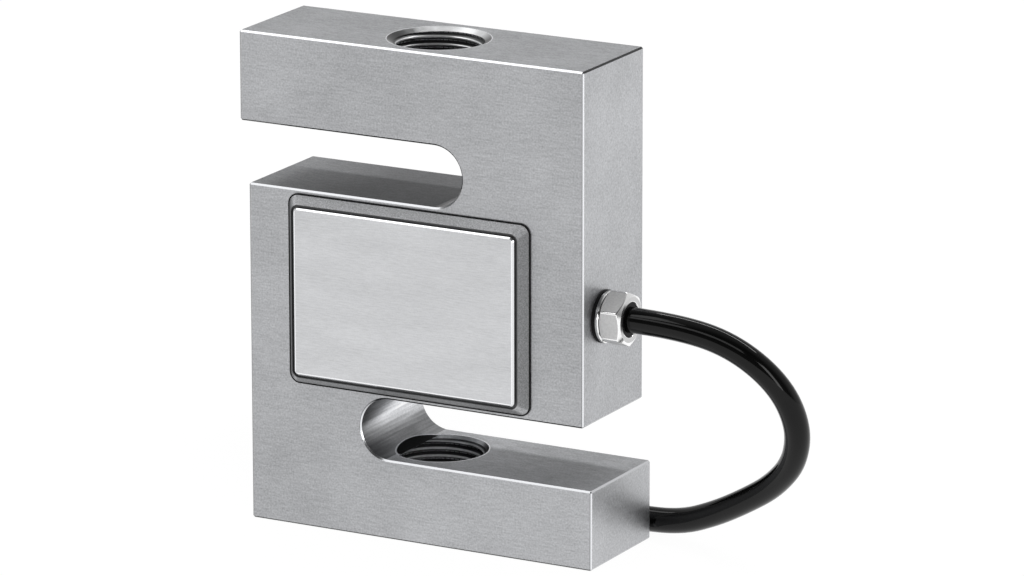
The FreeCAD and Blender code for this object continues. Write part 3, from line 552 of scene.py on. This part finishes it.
class Shader(Nodes):
    """A material's nodes, which know the place and the tilt of each face."""

    def __init__(self, name):
        self.material = bpy.data.materials.new(name)
        self.material.use_nodes = True
        super().__init__(self.material.node_tree)
        self.surface = self.tree.nodes["Principled BSDF"]
        self.place = self.node("ShaderNodeTexCoord").outputs["Object"]
        self.x, self.y, self.z = self.node("ShaderNodeSeparateXYZ", {0: self.place}).outputs
        geometry = self.node("ShaderNodeNewGeometry")
        normal = self.node("ShaderNodeSeparateXYZ", {0: geometry.outputs["True Normal"]})
        self.rightward, _, self.upward = normal.outputs
        self.across, self.front, self.up = (self.maths("ABSOLUTE", n) for n in normal.outputs)

    def stretched(self, *scales):
        """The place, with each axis scaled by its own number."""
        axes = zip((self.x, self.y, self.z), scales)
        scaled = (self.times(value, scale) for value, scale in axes)
        return self.node("ShaderNodeCombineXYZ", dict(enumerate(scaled))).outputs[0]

    def noise(self, vector, scale=1.0, detail=2.0, rough=0.5):
        inputs = {"Vector": vector, "Scale": scale, "Detail": detail, "Roughness": rough}
        return self.node("ShaderNodeTexNoise", inputs).outputs["Fac"]

    def grey(self, level, tint=(1.0, 1.0, 1.0)):
        """A colour from one brightness and a tint."""
        tinted = (self.times(level, t) for t in tint)
        return self.node("ShaderNodeCombineColor", dict(enumerate(tinted))).outputs[0]

    def bump(self, height, distance, strength):
        inputs = {"Height": height, "Distance": distance, "Strength": strength}
        self.feed(self.surface.inputs["Normal"], self.node("ShaderNodeBump", inputs).outputs[0])

    def set(self, **values):
        for word, value in values.items():
            self.feed(self.surface.inputs[word.replace("_", " ")], value)
        return self.material


def brushed_steel():
    """The block: fine grain along X on the front and top, upright on the sides, with painted light and shade
    on its faces and edges.
    """
    s = Shader("brushed_steel")
    lengthways = s.noise(s.stretched(450.0, 1300.0, 3600.0))
    upright = s.noise(s.stretched(2600.0, 2600.0, 1100.0))
    streaks = s.noise(s.stretched(1500.0, 70.0, 1500.0), detail=3.0)
    fine = s.noise(s.place, 2600.0, 1.0)
    mottle = s.noise(s.stretched(90.0, 150.0, 150.0), detail=3.0)
    broad = s.noise(s.place, 30.0, 2.0)

    # Each kind of face, by its tilt and its place.
    side = s.between(s.across, 0.80, 0.95)
    facing_up = s.above(s.upward, 0.95)
    quite_level = s.above(s.upward, 0.9995)
    steepest = s.either(s.either(s.across, s.front), s.up)
    lit = s.maths("ADD", s.rightward, s.upward)
    reach = s.distance(s.x, s.y)
    in_slot = s.times(s.below(s.maths("ABSOLUTE", s.x), SLOT_REACH), s.below(s.front, 0.3))
    slot_wall = s.times(in_slot, s.below(s.up, 0.985))
    in_foot_or_arm = s.either(s.below(s.z, FOOT_TOP + 2 * HAIR), s.above(s.z, ARM_UNDER - HAIR))
    mouth = s.times(s.below(steepest, 0.93), in_foot_or_arm)
    mouth = s.times(mouth, s.below(reach, MOUTH_WIDE + 0.3 * MM))
    rim = s.maths("SUBTRACT", s.below(steepest, 0.80), mouth)
    rim = s.times(rim, s.outside(in_slot))
    foot_top = s.times(facing_up, s.below(s.z, OVER_FOOT))
    middle_top = s.times(s.times(facing_up, s.above(s.z, OVER_FOOT)), s.below(s.z, OVER_MIDDLE))
    arm_top = s.times(facing_up, s.above(s.z, IN_ARM))
    ring_edge = s.mix(s.below(s.z, OVER_FOOT), 0.0, FOOT_RING)
    ring_edge = s.mix(s.above(s.z, IN_ARM), ring_edge, TOP_RING)
    # Painted highlight: a thin flat ring round each hole's mouth, painted near white, and polished as well.
    burnished_and_highlight = s.times(quite_level, s.below(reach, ring_edge))
    along = s.maths("DIVIDE", s.maths("SUBTRACT", s.x, CUT_CENTRE), CUT_HALF_LENGTH)
    off_middle = s.maths("DIVIDE", s.y, CUT_HALF_WIDTH)
    cut = s.maths("ADD", s.times(along, along), s.times(off_middle, off_middle))
    painted_hole_in_wall = s.times(s.above(s.z, FOOT_TOP + HAIR / 20), s.below(s.z, CUT_TOP))
    painted_hole_in_wall = s.times(painted_hole_in_wall, s.below(cut, 1.0))

    # The brushed faces, with painted light and shade.
    grain = s.mix(side, lengthways, upright)
    level = s.maths("MULTIPLY_ADD", grain, 0.28, 0.029)
    level = s.maths("MULTIPLY_ADD", fine, 0.36, level)
    level = s.maths("MULTIPLY_ADD", mottle, 0.10, level)
    level = s.maths("MULTIPLY_ADD", broad, 0.20, level)
    # Painted light: the sides a little lighter. Painted shade: the arm's top darker, and the slot floors
    # darker towards +X.
    level = s.maths("MULTIPLY_ADD", side, 0.035, level)
    level = s.times(level, s.mix(arm_top, 1.0, 0.78))
    level = s.times(level, s.mix(middle_top, 1.0, s.between(s.x, -0.034, -0.014, 0.62, 0.36)))
    level = s.times(level, s.mix(foot_top, 1.0, s.between(s.x, 0.010, 0.030, 1.06, 0.86)))

    # The slots' round walls, turned across the block, painted darker as shade where they tilt and towards the
    # front, and the hole's cut in one of them, painted black as shade with a painted highlight on its rim.
    tilt = s.maths("ABSOLUTE", s.maths("ADD", s.upward, 0.08))
    turned_wall_and_shade = s.times(s.between(tilt, 0.10, 0.75, 0.74, 0.24), s.between(streaks, 0.3, 0.7, 0.72, 1.22))
    turned_wall_and_shade = s.times(turned_wall_and_shade, s.between(s.y, -0.0125, -0.003, 0.34, 1.20))
    turned_wall_and_shade = s.times(turned_wall_and_shade, s.between(fine, 0.25, 0.75, 0.88, 1.12))
    level = s.mix(slot_wall, level, turned_wall_and_shade)
    # Painted shade: the hole's cut painted black on the wall, with a painted highlight on its rim.
    level = s.mix(painted_hole_in_wall, level, s.between(cut, 0.84, 0.90, 0.01, 0.80))

    # The burnished rings round the holes, painted bright as a highlight, the broken edges, with painted
    # highlights and shade by their tilt and place, and the cones.
    level = s.mix(burnished_and_highlight, level, 0.95)
    # Painted highlights and shade on the broken edges: by their tilt (lit), along the upright edges from
    # front to back, by height, bright at the foot's end and dark along the top's far right edge.
    upright_edge = s.between(s.y, -0.01262, -0.01256, 0.25, 0.88)
    top_edge = s.between(s.z, OVER_MIDDLE, UNDER_TOP_EDGES, 0.46, 0.66)
    painted_edge_light = s.mix(s.below(s.upward, 0.3), top_edge, upright_edge)
    foot_end = s.times(s.below(s.z, OVER_FOOT_EDGES), s.above(lit, 1.2))
    painted_edge_light = s.mix(foot_end, painted_edge_light, 0.95)
    far_edge = s.times(s.above(s.z, UNDER_TOP_EDGES), s.above(lit, 1.2))
    painted_edge_light = s.times(painted_edge_light, s.mix(far_edge, 1.0, 0.12))
    level = s.mix(rim, level, s.times(painted_edge_light, s.between(lit, -0.45, 0.45, 0.05, 1.0)))
    level = s.mix(mouth, level, s.between(s.noise(s.place, 700.0, 2.0), 0.3, 0.7, 0.52, 0.76))

    polished = s.either(burnished_and_highlight, s.either(rim, mouth))
    rough = s.mix(polished, s.between(grain, 0.3, 0.7, 0.38, 0.48), 0.20)
    rough = s.mix(s.times(quite_level, s.outside(burnished_and_highlight)), rough, 0.54)
    rough = s.mix(slot_wall, rough, 0.34)
    rough = s.mix(painted_hole_in_wall, rough, 0.85)
    height = s.mix(slot_wall, s.maths("MULTIPLY_ADD", fine, 0.6, grain), s.maths("ADD", streaks, fine))
    s.bump(s.times(height, s.outside(polished)), 0.01 * MM, 0.5)
    return s.set(Base_Color=s.grey(level, (0.960, 0.972, 1.0)), Metallic=1.0, Roughness=rough)


def cover_steel():
    """A cover: brushed plate, polished plate edge and border painted bright as highlights, blasted grey
    slopes painted lighter and darker by their tilt, and painted shade in the groove.
    """
    s = Shader("cover_steel")
    proud = s.maths("ABSOLUTE", s.y)
    brushed = s.noise(s.stretched(420.0, 3800.0, 3600.0))
    broad = s.noise(s.stretched(40.0, 60.0, 160.0), detail=3.0)
    speck = s.noise(s.place, 3400.0, 3.0, 0.7)
    level_face = s.between(s.front, 0.95, 0.99)
    plate = s.times(level_face, s.above(proud, PLATE_LEVEL))
    groove = s.times(s.below(proud, GROOVE_TOP), s.above(proud, GROOVE_FLOOR))
    groove = s.times(groove, s.either(level_face, s.below(s.front, 0.3)))
    edge = s.times(s.between(s.front, 0.60, 0.68), s.above(proud, EDGE_LEVEL))
    edge = s.times(edge, s.outside(plate))
    at_side = s.above(s.maths("ABSOLUTE", s.x), BORDER_SIDE)
    border = s.times(s.either(at_side, s.below(s.z, BORDER_LOW)), plate)
    bright = s.maths("MULTIPLY_ADD", brushed, 0.28, s.maths("MULTIPLY_ADD", broad, 0.22, 0.325))
    bright = s.maths("MULTIPLY_ADD", speck, 0.20, bright)
    dull_and_painted_light = s.between(speck, 0.32, 0.68, 0.22, 0.42)
    # Painted light and shade on the slopes: lighter facing up and down and at the corners, darker facing
    # left.
    dull_and_painted_light = s.times(dull_and_painted_light, s.between(s.upward, 0.3, 0.7, 1.0, 1.7))
    dull_and_painted_light = s.times(dull_and_painted_light, s.between(s.upward, -0.3, -0.7, 1.0, 1.35))
    dull_and_painted_light = s.times(dull_and_painted_light, s.between(s.rightward, -0.3, -0.7, 1.0, 0.6))
    painted_corner_light = s.between(s.maths("MINIMUM", s.across, s.up), 0.22, 0.36, 1.0, 1.5)
    dull_and_painted_light = s.times(dull_and_painted_light, painted_corner_light)
    level = s.mix(plate, dull_and_painted_light, bright)
    # Painted shade in the groove, and painted highlights on the plate's edge and border, which are polished
    # too.
    level = s.mix(groove, level, 0.13)
    level = s.mix(edge, level, 0.80)
    level = s.mix(border, level, 0.98)
    rough = s.mix(plate, 0.58, s.between(brushed, 0.3, 0.7, 0.32, 0.42))
    rough = s.mix(s.either(edge, border), rough, 0.18)
    height = s.mix(plate, s.times(speck, 4.0), brushed)
    s.bump(s.times(height, s.outside(edge)), 0.01 * MM, 0.6)
    return s.set(Base_Color=s.grey(level, (0.970, 0.980, 1.0)), Metallic=1.0, Roughness=rough)


def thread_metal():
    """The cut thread: crests painted bright as highlights, roots painted dark as shade, and painted shade
    darker still half way through the hole.
    """
    s = Shader("thread_steel")
    reach = s.distance(s.x, s.y)
    fine = s.noise(s.place, 1600.0, 3.0)
    # Painted highlight on the crests and painted shade in the roots; lit paints shade deeper in the hole.
    crest = s.between(reach, THREAD_MINOR + 0.06 * MM, THREAD_MINOR + 0.28 * MM, 0.88, 0.12)
    from_middle = s.maths("ABSOLUTE", s.maths("ADD", s.z, HOLE_MIDDLE))
    lit = s.between(from_middle, 1.5 * MM, 6.0 * MM, 0.45, 1.0)
    level = s.times(s.times(crest, lit), s.between(fine, 0.3, 0.7, 0.9, 1.08))
    s.bump(fine, 0.001 * MM, 0.3)
    rough = s.between(fine, 0.3, 0.7, 0.34, 0.40)
    return s.set(Base_Color=s.grey(level, (0.98, 0.99, 1.0)), Metallic=1.0, Roughness=rough)


def gland_metal():
    """Bright nickel plating; the hexagon's chamfers and corners polished and painted white as highlights, and
    painted shade on the cone at its back.
    """
    s = Shader("gland_plating")
    fine = s.noise(s.place, 2400.0, 3.0)
    y = s.maths("SUBTRACT", s.y, NUT_AXIS[0] * MM)
    z = s.maths("SUBTRACT", s.z, NUT_AXIS[1] * MM)
    hexagon = s.above(s.x, (NUT_BACK - 0.1) * MM)
    corner = s.times(s.between(s.distance(y, z), 5.61 * MM, 5.64 * MM), hexagon)
    broken = s.times(s.between(s.across, 0.25, 0.35), s.between(s.across, 0.94, 0.91))
    # Painted highlights: the hexagon's corners and broken edges painted white, and polished.
    polish_and_highlight = s.either(corner, broken)
    flat = s.mix(hexagon, 0.62, s.between(fine, 0.3, 0.7, 0.58, 0.68))
    flat = s.mix(s.above(s.across, 0.97), flat, 0.62)
    level = s.mix(polish_and_highlight, flat, 1.0)
    # Painted shade: the cone at the hexagon's back painted dark, as the gap in front of the collar.
    level = s.mix(s.times(hexagon, s.below(s.rightward, -0.5)), level, 0.10)
    s.bump(fine, 0.003 * MM, 0.5)
    rough = s.mix(polish_and_highlight, s.mix(hexagon, 0.10, s.between(fine, 0.3, 0.7, 0.34, 0.40)), 0.16)
    satin = s.times(hexagon, s.below(s.across, 0.1))
    satin = s.times(satin, s.outside(corner))
    return s.set(Base_Color=s.grey(level), Metallic=s.mix(satin, 1.0, 0.25), Roughness=rough)


def mouth_metal_painted_light():
    """The cones at the holes' mouths, turned: painted with highlights in front and behind and with shade at
    the sides.
    """
    s = Shader("mouth_steel")
    fine = s.noise(s.place, 900.0)
    sideways = s.maths("DIVIDE", s.maths("ABSOLUTE", s.x), s.distance(s.x, s.y))
    # Painted highlight in front and behind, painted shade at the sides.
    level = s.between(sideways, 0.55, 0.88, 0.96, 0.06)
    level = s.times(level, s.between(fine, 0.3, 0.7, 0.94, 1.04))
    s.bump(fine, 0.001 * MM, 0.3)
    rough = s.between(fine, 0.3, 0.7, 0.30, 0.34)
    return s.set(Base_Color=s.grey(level, (0.98, 0.99, 1.0)), Metallic=1.0, Roughness=rough)


def plain_metal(name, low, high, roughness, tint):
    """Turned or plated metal with a faint grain."""
    s = Shader(name)
    fine = s.noise(s.place, 2400.0, 3.0)
    s.bump(fine, 0.006 * MM, 0.5)
    rough = s.between(fine, 0.3, 0.7, roughness - 0.04, roughness + 0.04)
    return s.set(Base_Color=s.grey(s.between(fine, 0.3, 0.7, low, high), tint), Metallic=1.0, Roughness=rough)


def plain_plastic(name, colour, roughness, **more):
    """Moulded plastic, rubber or enamel with a fine uneven skin."""
    s = Shader(name)
    fine = s.noise(s.place, 900.0, 3.0)
    darker = tuple(c * 0.8 for c in colour)
    lighter = tuple(min(1.0, c * 1.2) for c in colour)
    shade = s.mix_colour(s.between(fine, 0.3, 0.7), (*darker, 1.0), (*lighter, 1.0))
    rough = s.between(fine, 0.3, 0.7, roughness - 0.04, roughness + 0.04)
    s.bump(fine, 0.01 * MM, 0.5)
    return s.set(Base_Color=shade, Roughness=rough, **more)


def cable_jacket():
    """Glossy black cable jacket with faint long ripples."""
    s = Shader("cable_jacket")
    ripple = s.noise(s.place, 110.0, 2.0)
    fine = s.noise(s.place, 3000.0, 2.0)
    s.bump(s.maths("MULTIPLY_ADD", fine, 0.02, ripple), 0.03 * MM, 0.4)
    rough = s.between(fine, 0.3, 0.7, 0.07, 0.11)
    shade = s.grey(s.between(ripple, 0.3, 0.7, 0.0012, 0.0025))
    return s.set(Base_Color=shade, Roughness=rough, Specular_IOR_Level=0.24)


steel = brushed_steel()
cover = cover_steel()
plating = gland_metal()
thread_steel = thread_metal()
mouth_steel = mouth_metal_painted_light()
tinning = plain_metal("tinned_copper", 0.56, 0.70, 0.26, (1.0, 0.97, 0.92))
brass = plain_metal("ring_brass", 0.70, 0.82, 0.30, (1.0, 0.80, 0.42))
rubber = plain_plastic("seal_rubber", (0.006, 0.006, 0.0065), 0.50, Specular_IOR_Level=0.15)
jacket = cable_jacket()
nylon = plain_plastic("tie_nylon", (0.022, 0.022, 0.024), 0.42)
shrink = plain_plastic("sleeve_shrink", (0.018, 0.018, 0.019), 0.48)
CORE_COLOURS = {
    "red": (0.50, 0.02, 0.015),
    "black": (0.015, 0.015, 0.016),
    "green": (0.01, 0.20, 0.05),
    "white": (0.78, 0.78, 0.75),
}
MATERIALS = {
    "s_body": steel,
    "front_cover": cover,
    "rear_cover": cover,
    "front_cover_seal": rubber,
    "rear_cover_seal": rubber,
    "gland_seal_ring": rubber,
    "gland_bush": rubber,
    "gland_body": plating,
    "gland_nut": plating,
    "gland_clamp_ring": brass,
    "coil_tie_left": nylon,
    "coil_tie_right": nylon,
    "end_sleeve": shrink,
}
film = plain_plastic("gauge_film", (0.62, 0.30, 0.05), 0.35)
laminate = plain_plastic("board_laminate", (0.03, 0.16, 0.06), 0.40)
adhesive = plain_plastic("board_adhesive", (0.70, 0.66, 0.55), 0.50)
resistor = plain_plastic("resistor_body", (0.02, 0.02, 0.025), 0.30)
enamel = plain_plastic("wire_enamel", (0.45, 0.13, 0.04), 0.25)
for side in ("front", "rear"):
    MATERIALS[f"{side}_gauge_left"] = film
    MATERIALS[f"{side}_gauge_right"] = film
    MATERIALS[f"{side}_board_bed"] = adhesive
    MATERIALS[f"{side}_terminal_board"] = laminate
    MATERIALS[f"{side}_gauge_wires"] = enamel
MATERIALS["link_wires"] = enamel
MATERIALS["span_resistor"] = resistor
MATERIALS["balance_resistor"] = resistor
for word, colour in CORE_COLOURS.items():
    insulation = plain_plastic(f"core_{word}", colour, 0.35)
    MATERIALS[f"core_{word}"] = insulation
    MATERIALS[f"end_core_{word}"] = insulation


def dress(piece, material):
    """Give a piece one material over all its faces."""
    if not piece.material_slots:
        piece.data.materials.append(material)
    for held in piece.material_slots:
        held.link = "OBJECT"
        held.material = material


for name, material in MATERIALS.items():
    dress(nodes[name], material)
dress(cable, jacket)
dress(hexagon_nut, plating)
dress(sleeve, shrink)
for tie in ties:
    dress(tie, nylon)
for tip in core_tips:
    dress(tip, tinning)
for word, core in bare_cores.items():
    dress(core, MATERIALS[f"core_{word}"])


# share of the pitch, and depth from the crest to the root
THREAD_PROFILE = [(0.0, 0.0), (0.14, 0.0), (0.22, 0.12), (0.55, 1.0), (0.67, 1.0)]
THREAD_STEPS = 96


def make_thread(name, mouth, bottom, top, slope_down, slope_up):
    """A closed sleeve with one helical thread between two heights, cut by a cone at each end."""
    mesh = bmesh.new()
    per_turn = len(THREAD_PROFILE)
    turns = math.ceil((top - bottom) / THREAD_PITCH) + 3
    rings = []
    for i in range(THREAD_STEPS):
        turned = 2 * math.pi * i / THREAD_STEPS
        ring = []
        for whole in range(-1, turns):
            for share, depth in THREAD_PROFILE:
                rise = bottom + THREAD_PITCH * (whole + share + i / THREAD_STEPS)
                z = min(max(rise, bottom), top)
                radius = THREAD_MINOR + (THREAD_MAJOR - THREAD_MINOR) * depth
                cone = THREAD_MAJOR - min((top - z) * slope_up, (z - bottom) * slope_down)
                radius = max(radius, cone)
                ring.append((radius * math.cos(turned), radius * math.sin(turned), z - mouth))
        rings.append(ring)
    made = [[mesh.verts.new(p) for p in ring] for ring in rings]
    backs = []
    for i in range(THREAD_STEPS):
        turned = 2 * math.pi * i / THREAD_STEPS
        x, y = THREAD_BACK * math.cos(turned), THREAD_BACK * math.sin(turned)
        backs.append([mesh.verts.new((x, y, z - mouth)) for z in (bottom, top)])
    for i in range(THREAD_STEPS):
        j = (i + 1) % THREAD_STEPS
        shift = per_turn if j == 0 else 0
        last = len(made[0]) - 1 - shift
        for k in range(last):
            mesh.faces.new((made[i][k], made[j][k + shift], made[j][k + 1 + shift], made[i][k + 1]))
        mesh.faces.new((made[i][0], backs[i][0], backs[j][0], made[j][shift]))
        mesh.faces.new((made[i][last], made[j][last + shift], backs[j][1], backs[i][1]))
        mesh.faces.new((backs[i][0], backs[i][1], backs[j][1], backs[j][0]))
    bmesh.ops.remove_doubles(mesh, verts=mesh.verts, dist=1e-7)
    bmesh.ops.dissolve_degenerate(mesh, edges=mesh.edges, dist=1e-7)
    piece = closed_mesh(name, mesh, 15.0)
    piece.location.z = mouth
    dress(piece, thread_steel)
    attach(piece, BODY)


# The cone's inner edge: how far it lies from the block's, inward and down, and how far it then runs on
# over the thread. The last is how far its outer edge keeps off the block's.
CONE_FRONT = 0.055 * MM
CONE_DROP = 0.01 * MM
CONE_RUN_ON = 0.3 * MM
CONE_INSET = 0.04 * MM


def make_mouth(name, level, wide, depth, way):
    """The turned cone at one end of a hole, a hair in front of the block's own. Metres."""
    slope = (wide - THREAD_MAJOR) / depth
    profile = [
        (THREAD_MAJOR - CONE_FRONT - CONE_RUN_ON, depth + CONE_DROP + CONE_RUN_ON / slope),
        (wide - CONE_INSET, 0.003 * MM),
        (wide - CONE_INSET, depth / 2),
        (THREAD_MAJOR + 0.1 * MM, depth + 0.2 * MM),
    ]
    mesh = bmesh.new()
    rings = []
    for k in range(THREAD_STEPS):
        turned = 2 * math.pi * k / THREAD_STEPS
        x, y = math.cos(turned), math.sin(turned)
        rings.append([(radius * x, radius * y, level - way * down) for radius, down in profile])
    skin(mesh, rings, closed_path=True)
    piece = closed_mesh(name, mesh, 15.0)
    dress(piece, mouth_steel)
    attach(piece, BODY)


make_thread("top_thread", TOP, ARM_UNDER + BREAK_DEPTH, TOP - MOUTH_DEPTH, BREAK_SLOPE, MOUTH_SLOPE)
make_thread("foot_thread", FOOT_TOP, MOUTH_DEPTH, FOOT_TOP - BREAK_DEPTH, MOUTH_SLOPE, BREAK_SLOPE)
make_mouth("top_mouth", TOP, MOUTH_WIDE, MOUTH_DEPTH, 1.0)
make_mouth("arm_under_mouth", ARM_UNDER, BREAK_WIDE, BREAK_DEPTH, -1.0)
make_mouth("foot_top_mouth", FOOT_TOP, BREAK_WIDE, BREAK_DEPTH, 1.0)
make_mouth("bottom_mouth", 0.0, MOUTH_WIDE, MOUTH_DEPTH, -1.0)


# Floor, backdrop and light
FLOOR_GLOW = 1.03
GLOW_SHARE = 0.94
FLOOR_DROP = 0.1 * MM
# The side on which the reflections see the dim room.
ROOM_SIDE = (0.479, -0.878, 0.0)
BLOCK_MIDDLE = Vector((0.0, 0.0, 0.05))


def make_floor():
    """A wide white floor that keeps a faint shadow."""
    mesh = bmesh.new()
    bmesh.ops.create_grid(mesh, x_segments=1, y_segments=1, size=30.0)
    data = bpy.data.meshes.new("floor")
    mesh.to_mesh(data)
    mesh.free()
    floor = add_object("floor", data)
    floor.location.z = cad_box[0][2] - FLOOR_DROP
    s = Shader("floor")
    path = s.node("ShaderNodeLightPath")
    glow = s.node("ShaderNodeEmission", {"Color": (1.0, 1.0, 1.0, 1.0), "Strength": FLOOR_GLOW})
    seen = s.either(path.outputs["Is Camera Ray"], path.outputs["Is Glossy Ray"])
    seen = s.either(seen, path.outputs["Is Transmission Ray"])
    both = s.node("ShaderNodeMixShader", {
        0: s.times(seen, GLOW_SHARE), 1: s.surface.outputs[0], 2: glow.outputs[0],
    })
    s.tree.links.new(both.outputs[0], s.tree.nodes["Material Output"].inputs["Surface"])
    s.set(Base_Color=(0.92, 0.92, 0.92, 1.0), Roughness=0.7, Specular_IOR_Level=0.2)
    dress(floor, s.material)


def make_world():
    """White behind the object, weaker overhead, and a dim room in front for the reflections."""
    world = bpy.data.worlds.new("world")
    world.use_nodes = True
    world.node_tree.nodes.clear()
    w = Nodes(world.node_tree)
    facing = w.node("ShaderNodeTexCoord").outputs["Generated"]
    upward = w.node("ShaderNodeSeparateXYZ", {0: facing}).outputs["Z"]
    toward = w.node("ShaderNodeVectorMath", {0: facing, 1: ROOM_SIDE}, operation="DOT_PRODUCT")
    path = w.node("ShaderNodeLightPath").outputs
    room = w.between(toward.outputs["Value"], 0.0, 0.45, 1.0, 0.16)
    studio = w.times(w.between(upward, 0.05, 0.75, 0.98, 0.50), room)
    level = w.mix(path["Is Glossy Ray"], w.between(upward, 0.0, 0.9, 0.75, 0.45), studio)
    level = w.mix(path["Is Transmission Ray"], level, 1.0)
    level = w.mix(path["Is Camera Ray"], level, 1.0)
    back = w.node("ShaderNodeBackground", {"Strength": level})
    w.node("ShaderNodeOutputWorld", {"Surface": back.outputs[0]})
    bpy.context.scene.world = world


def area_light(name, place, width, height, power):
    """A soft box aimed at the middle of the block."""
    data = bpy.data.lights.new(name, "AREA")
    data.shape = "RECTANGLE"
    data.size = width
    data.size_y = height
    data.energy = power
    lamp = add_object(name, data)
    lamp.location = place
    aim = BLOCK_MIDDLE - lamp.location
    lamp.rotation_euler = aim.to_track_quat("-Z", "Y").to_euler()
    lamp.visible_camera = False


make_floor()
make_world()
area_light("overhead_box", (-0.53, -0.20, 0.93), 1.0, 0.4, 2.3)
area_light("back_strip", (0.0, 0.55, 0.85), 1.1, 0.08, 2.8)
area_light("front_strip", (0.0, -0.80, 0.68), 1.3, 0.22, 1.5)
area_light("right_strip", (0.95, -0.55, 0.28), 0.22, 0.6, 1.6)
bpy.context.scene.view_settings.view_transform = "Standard"
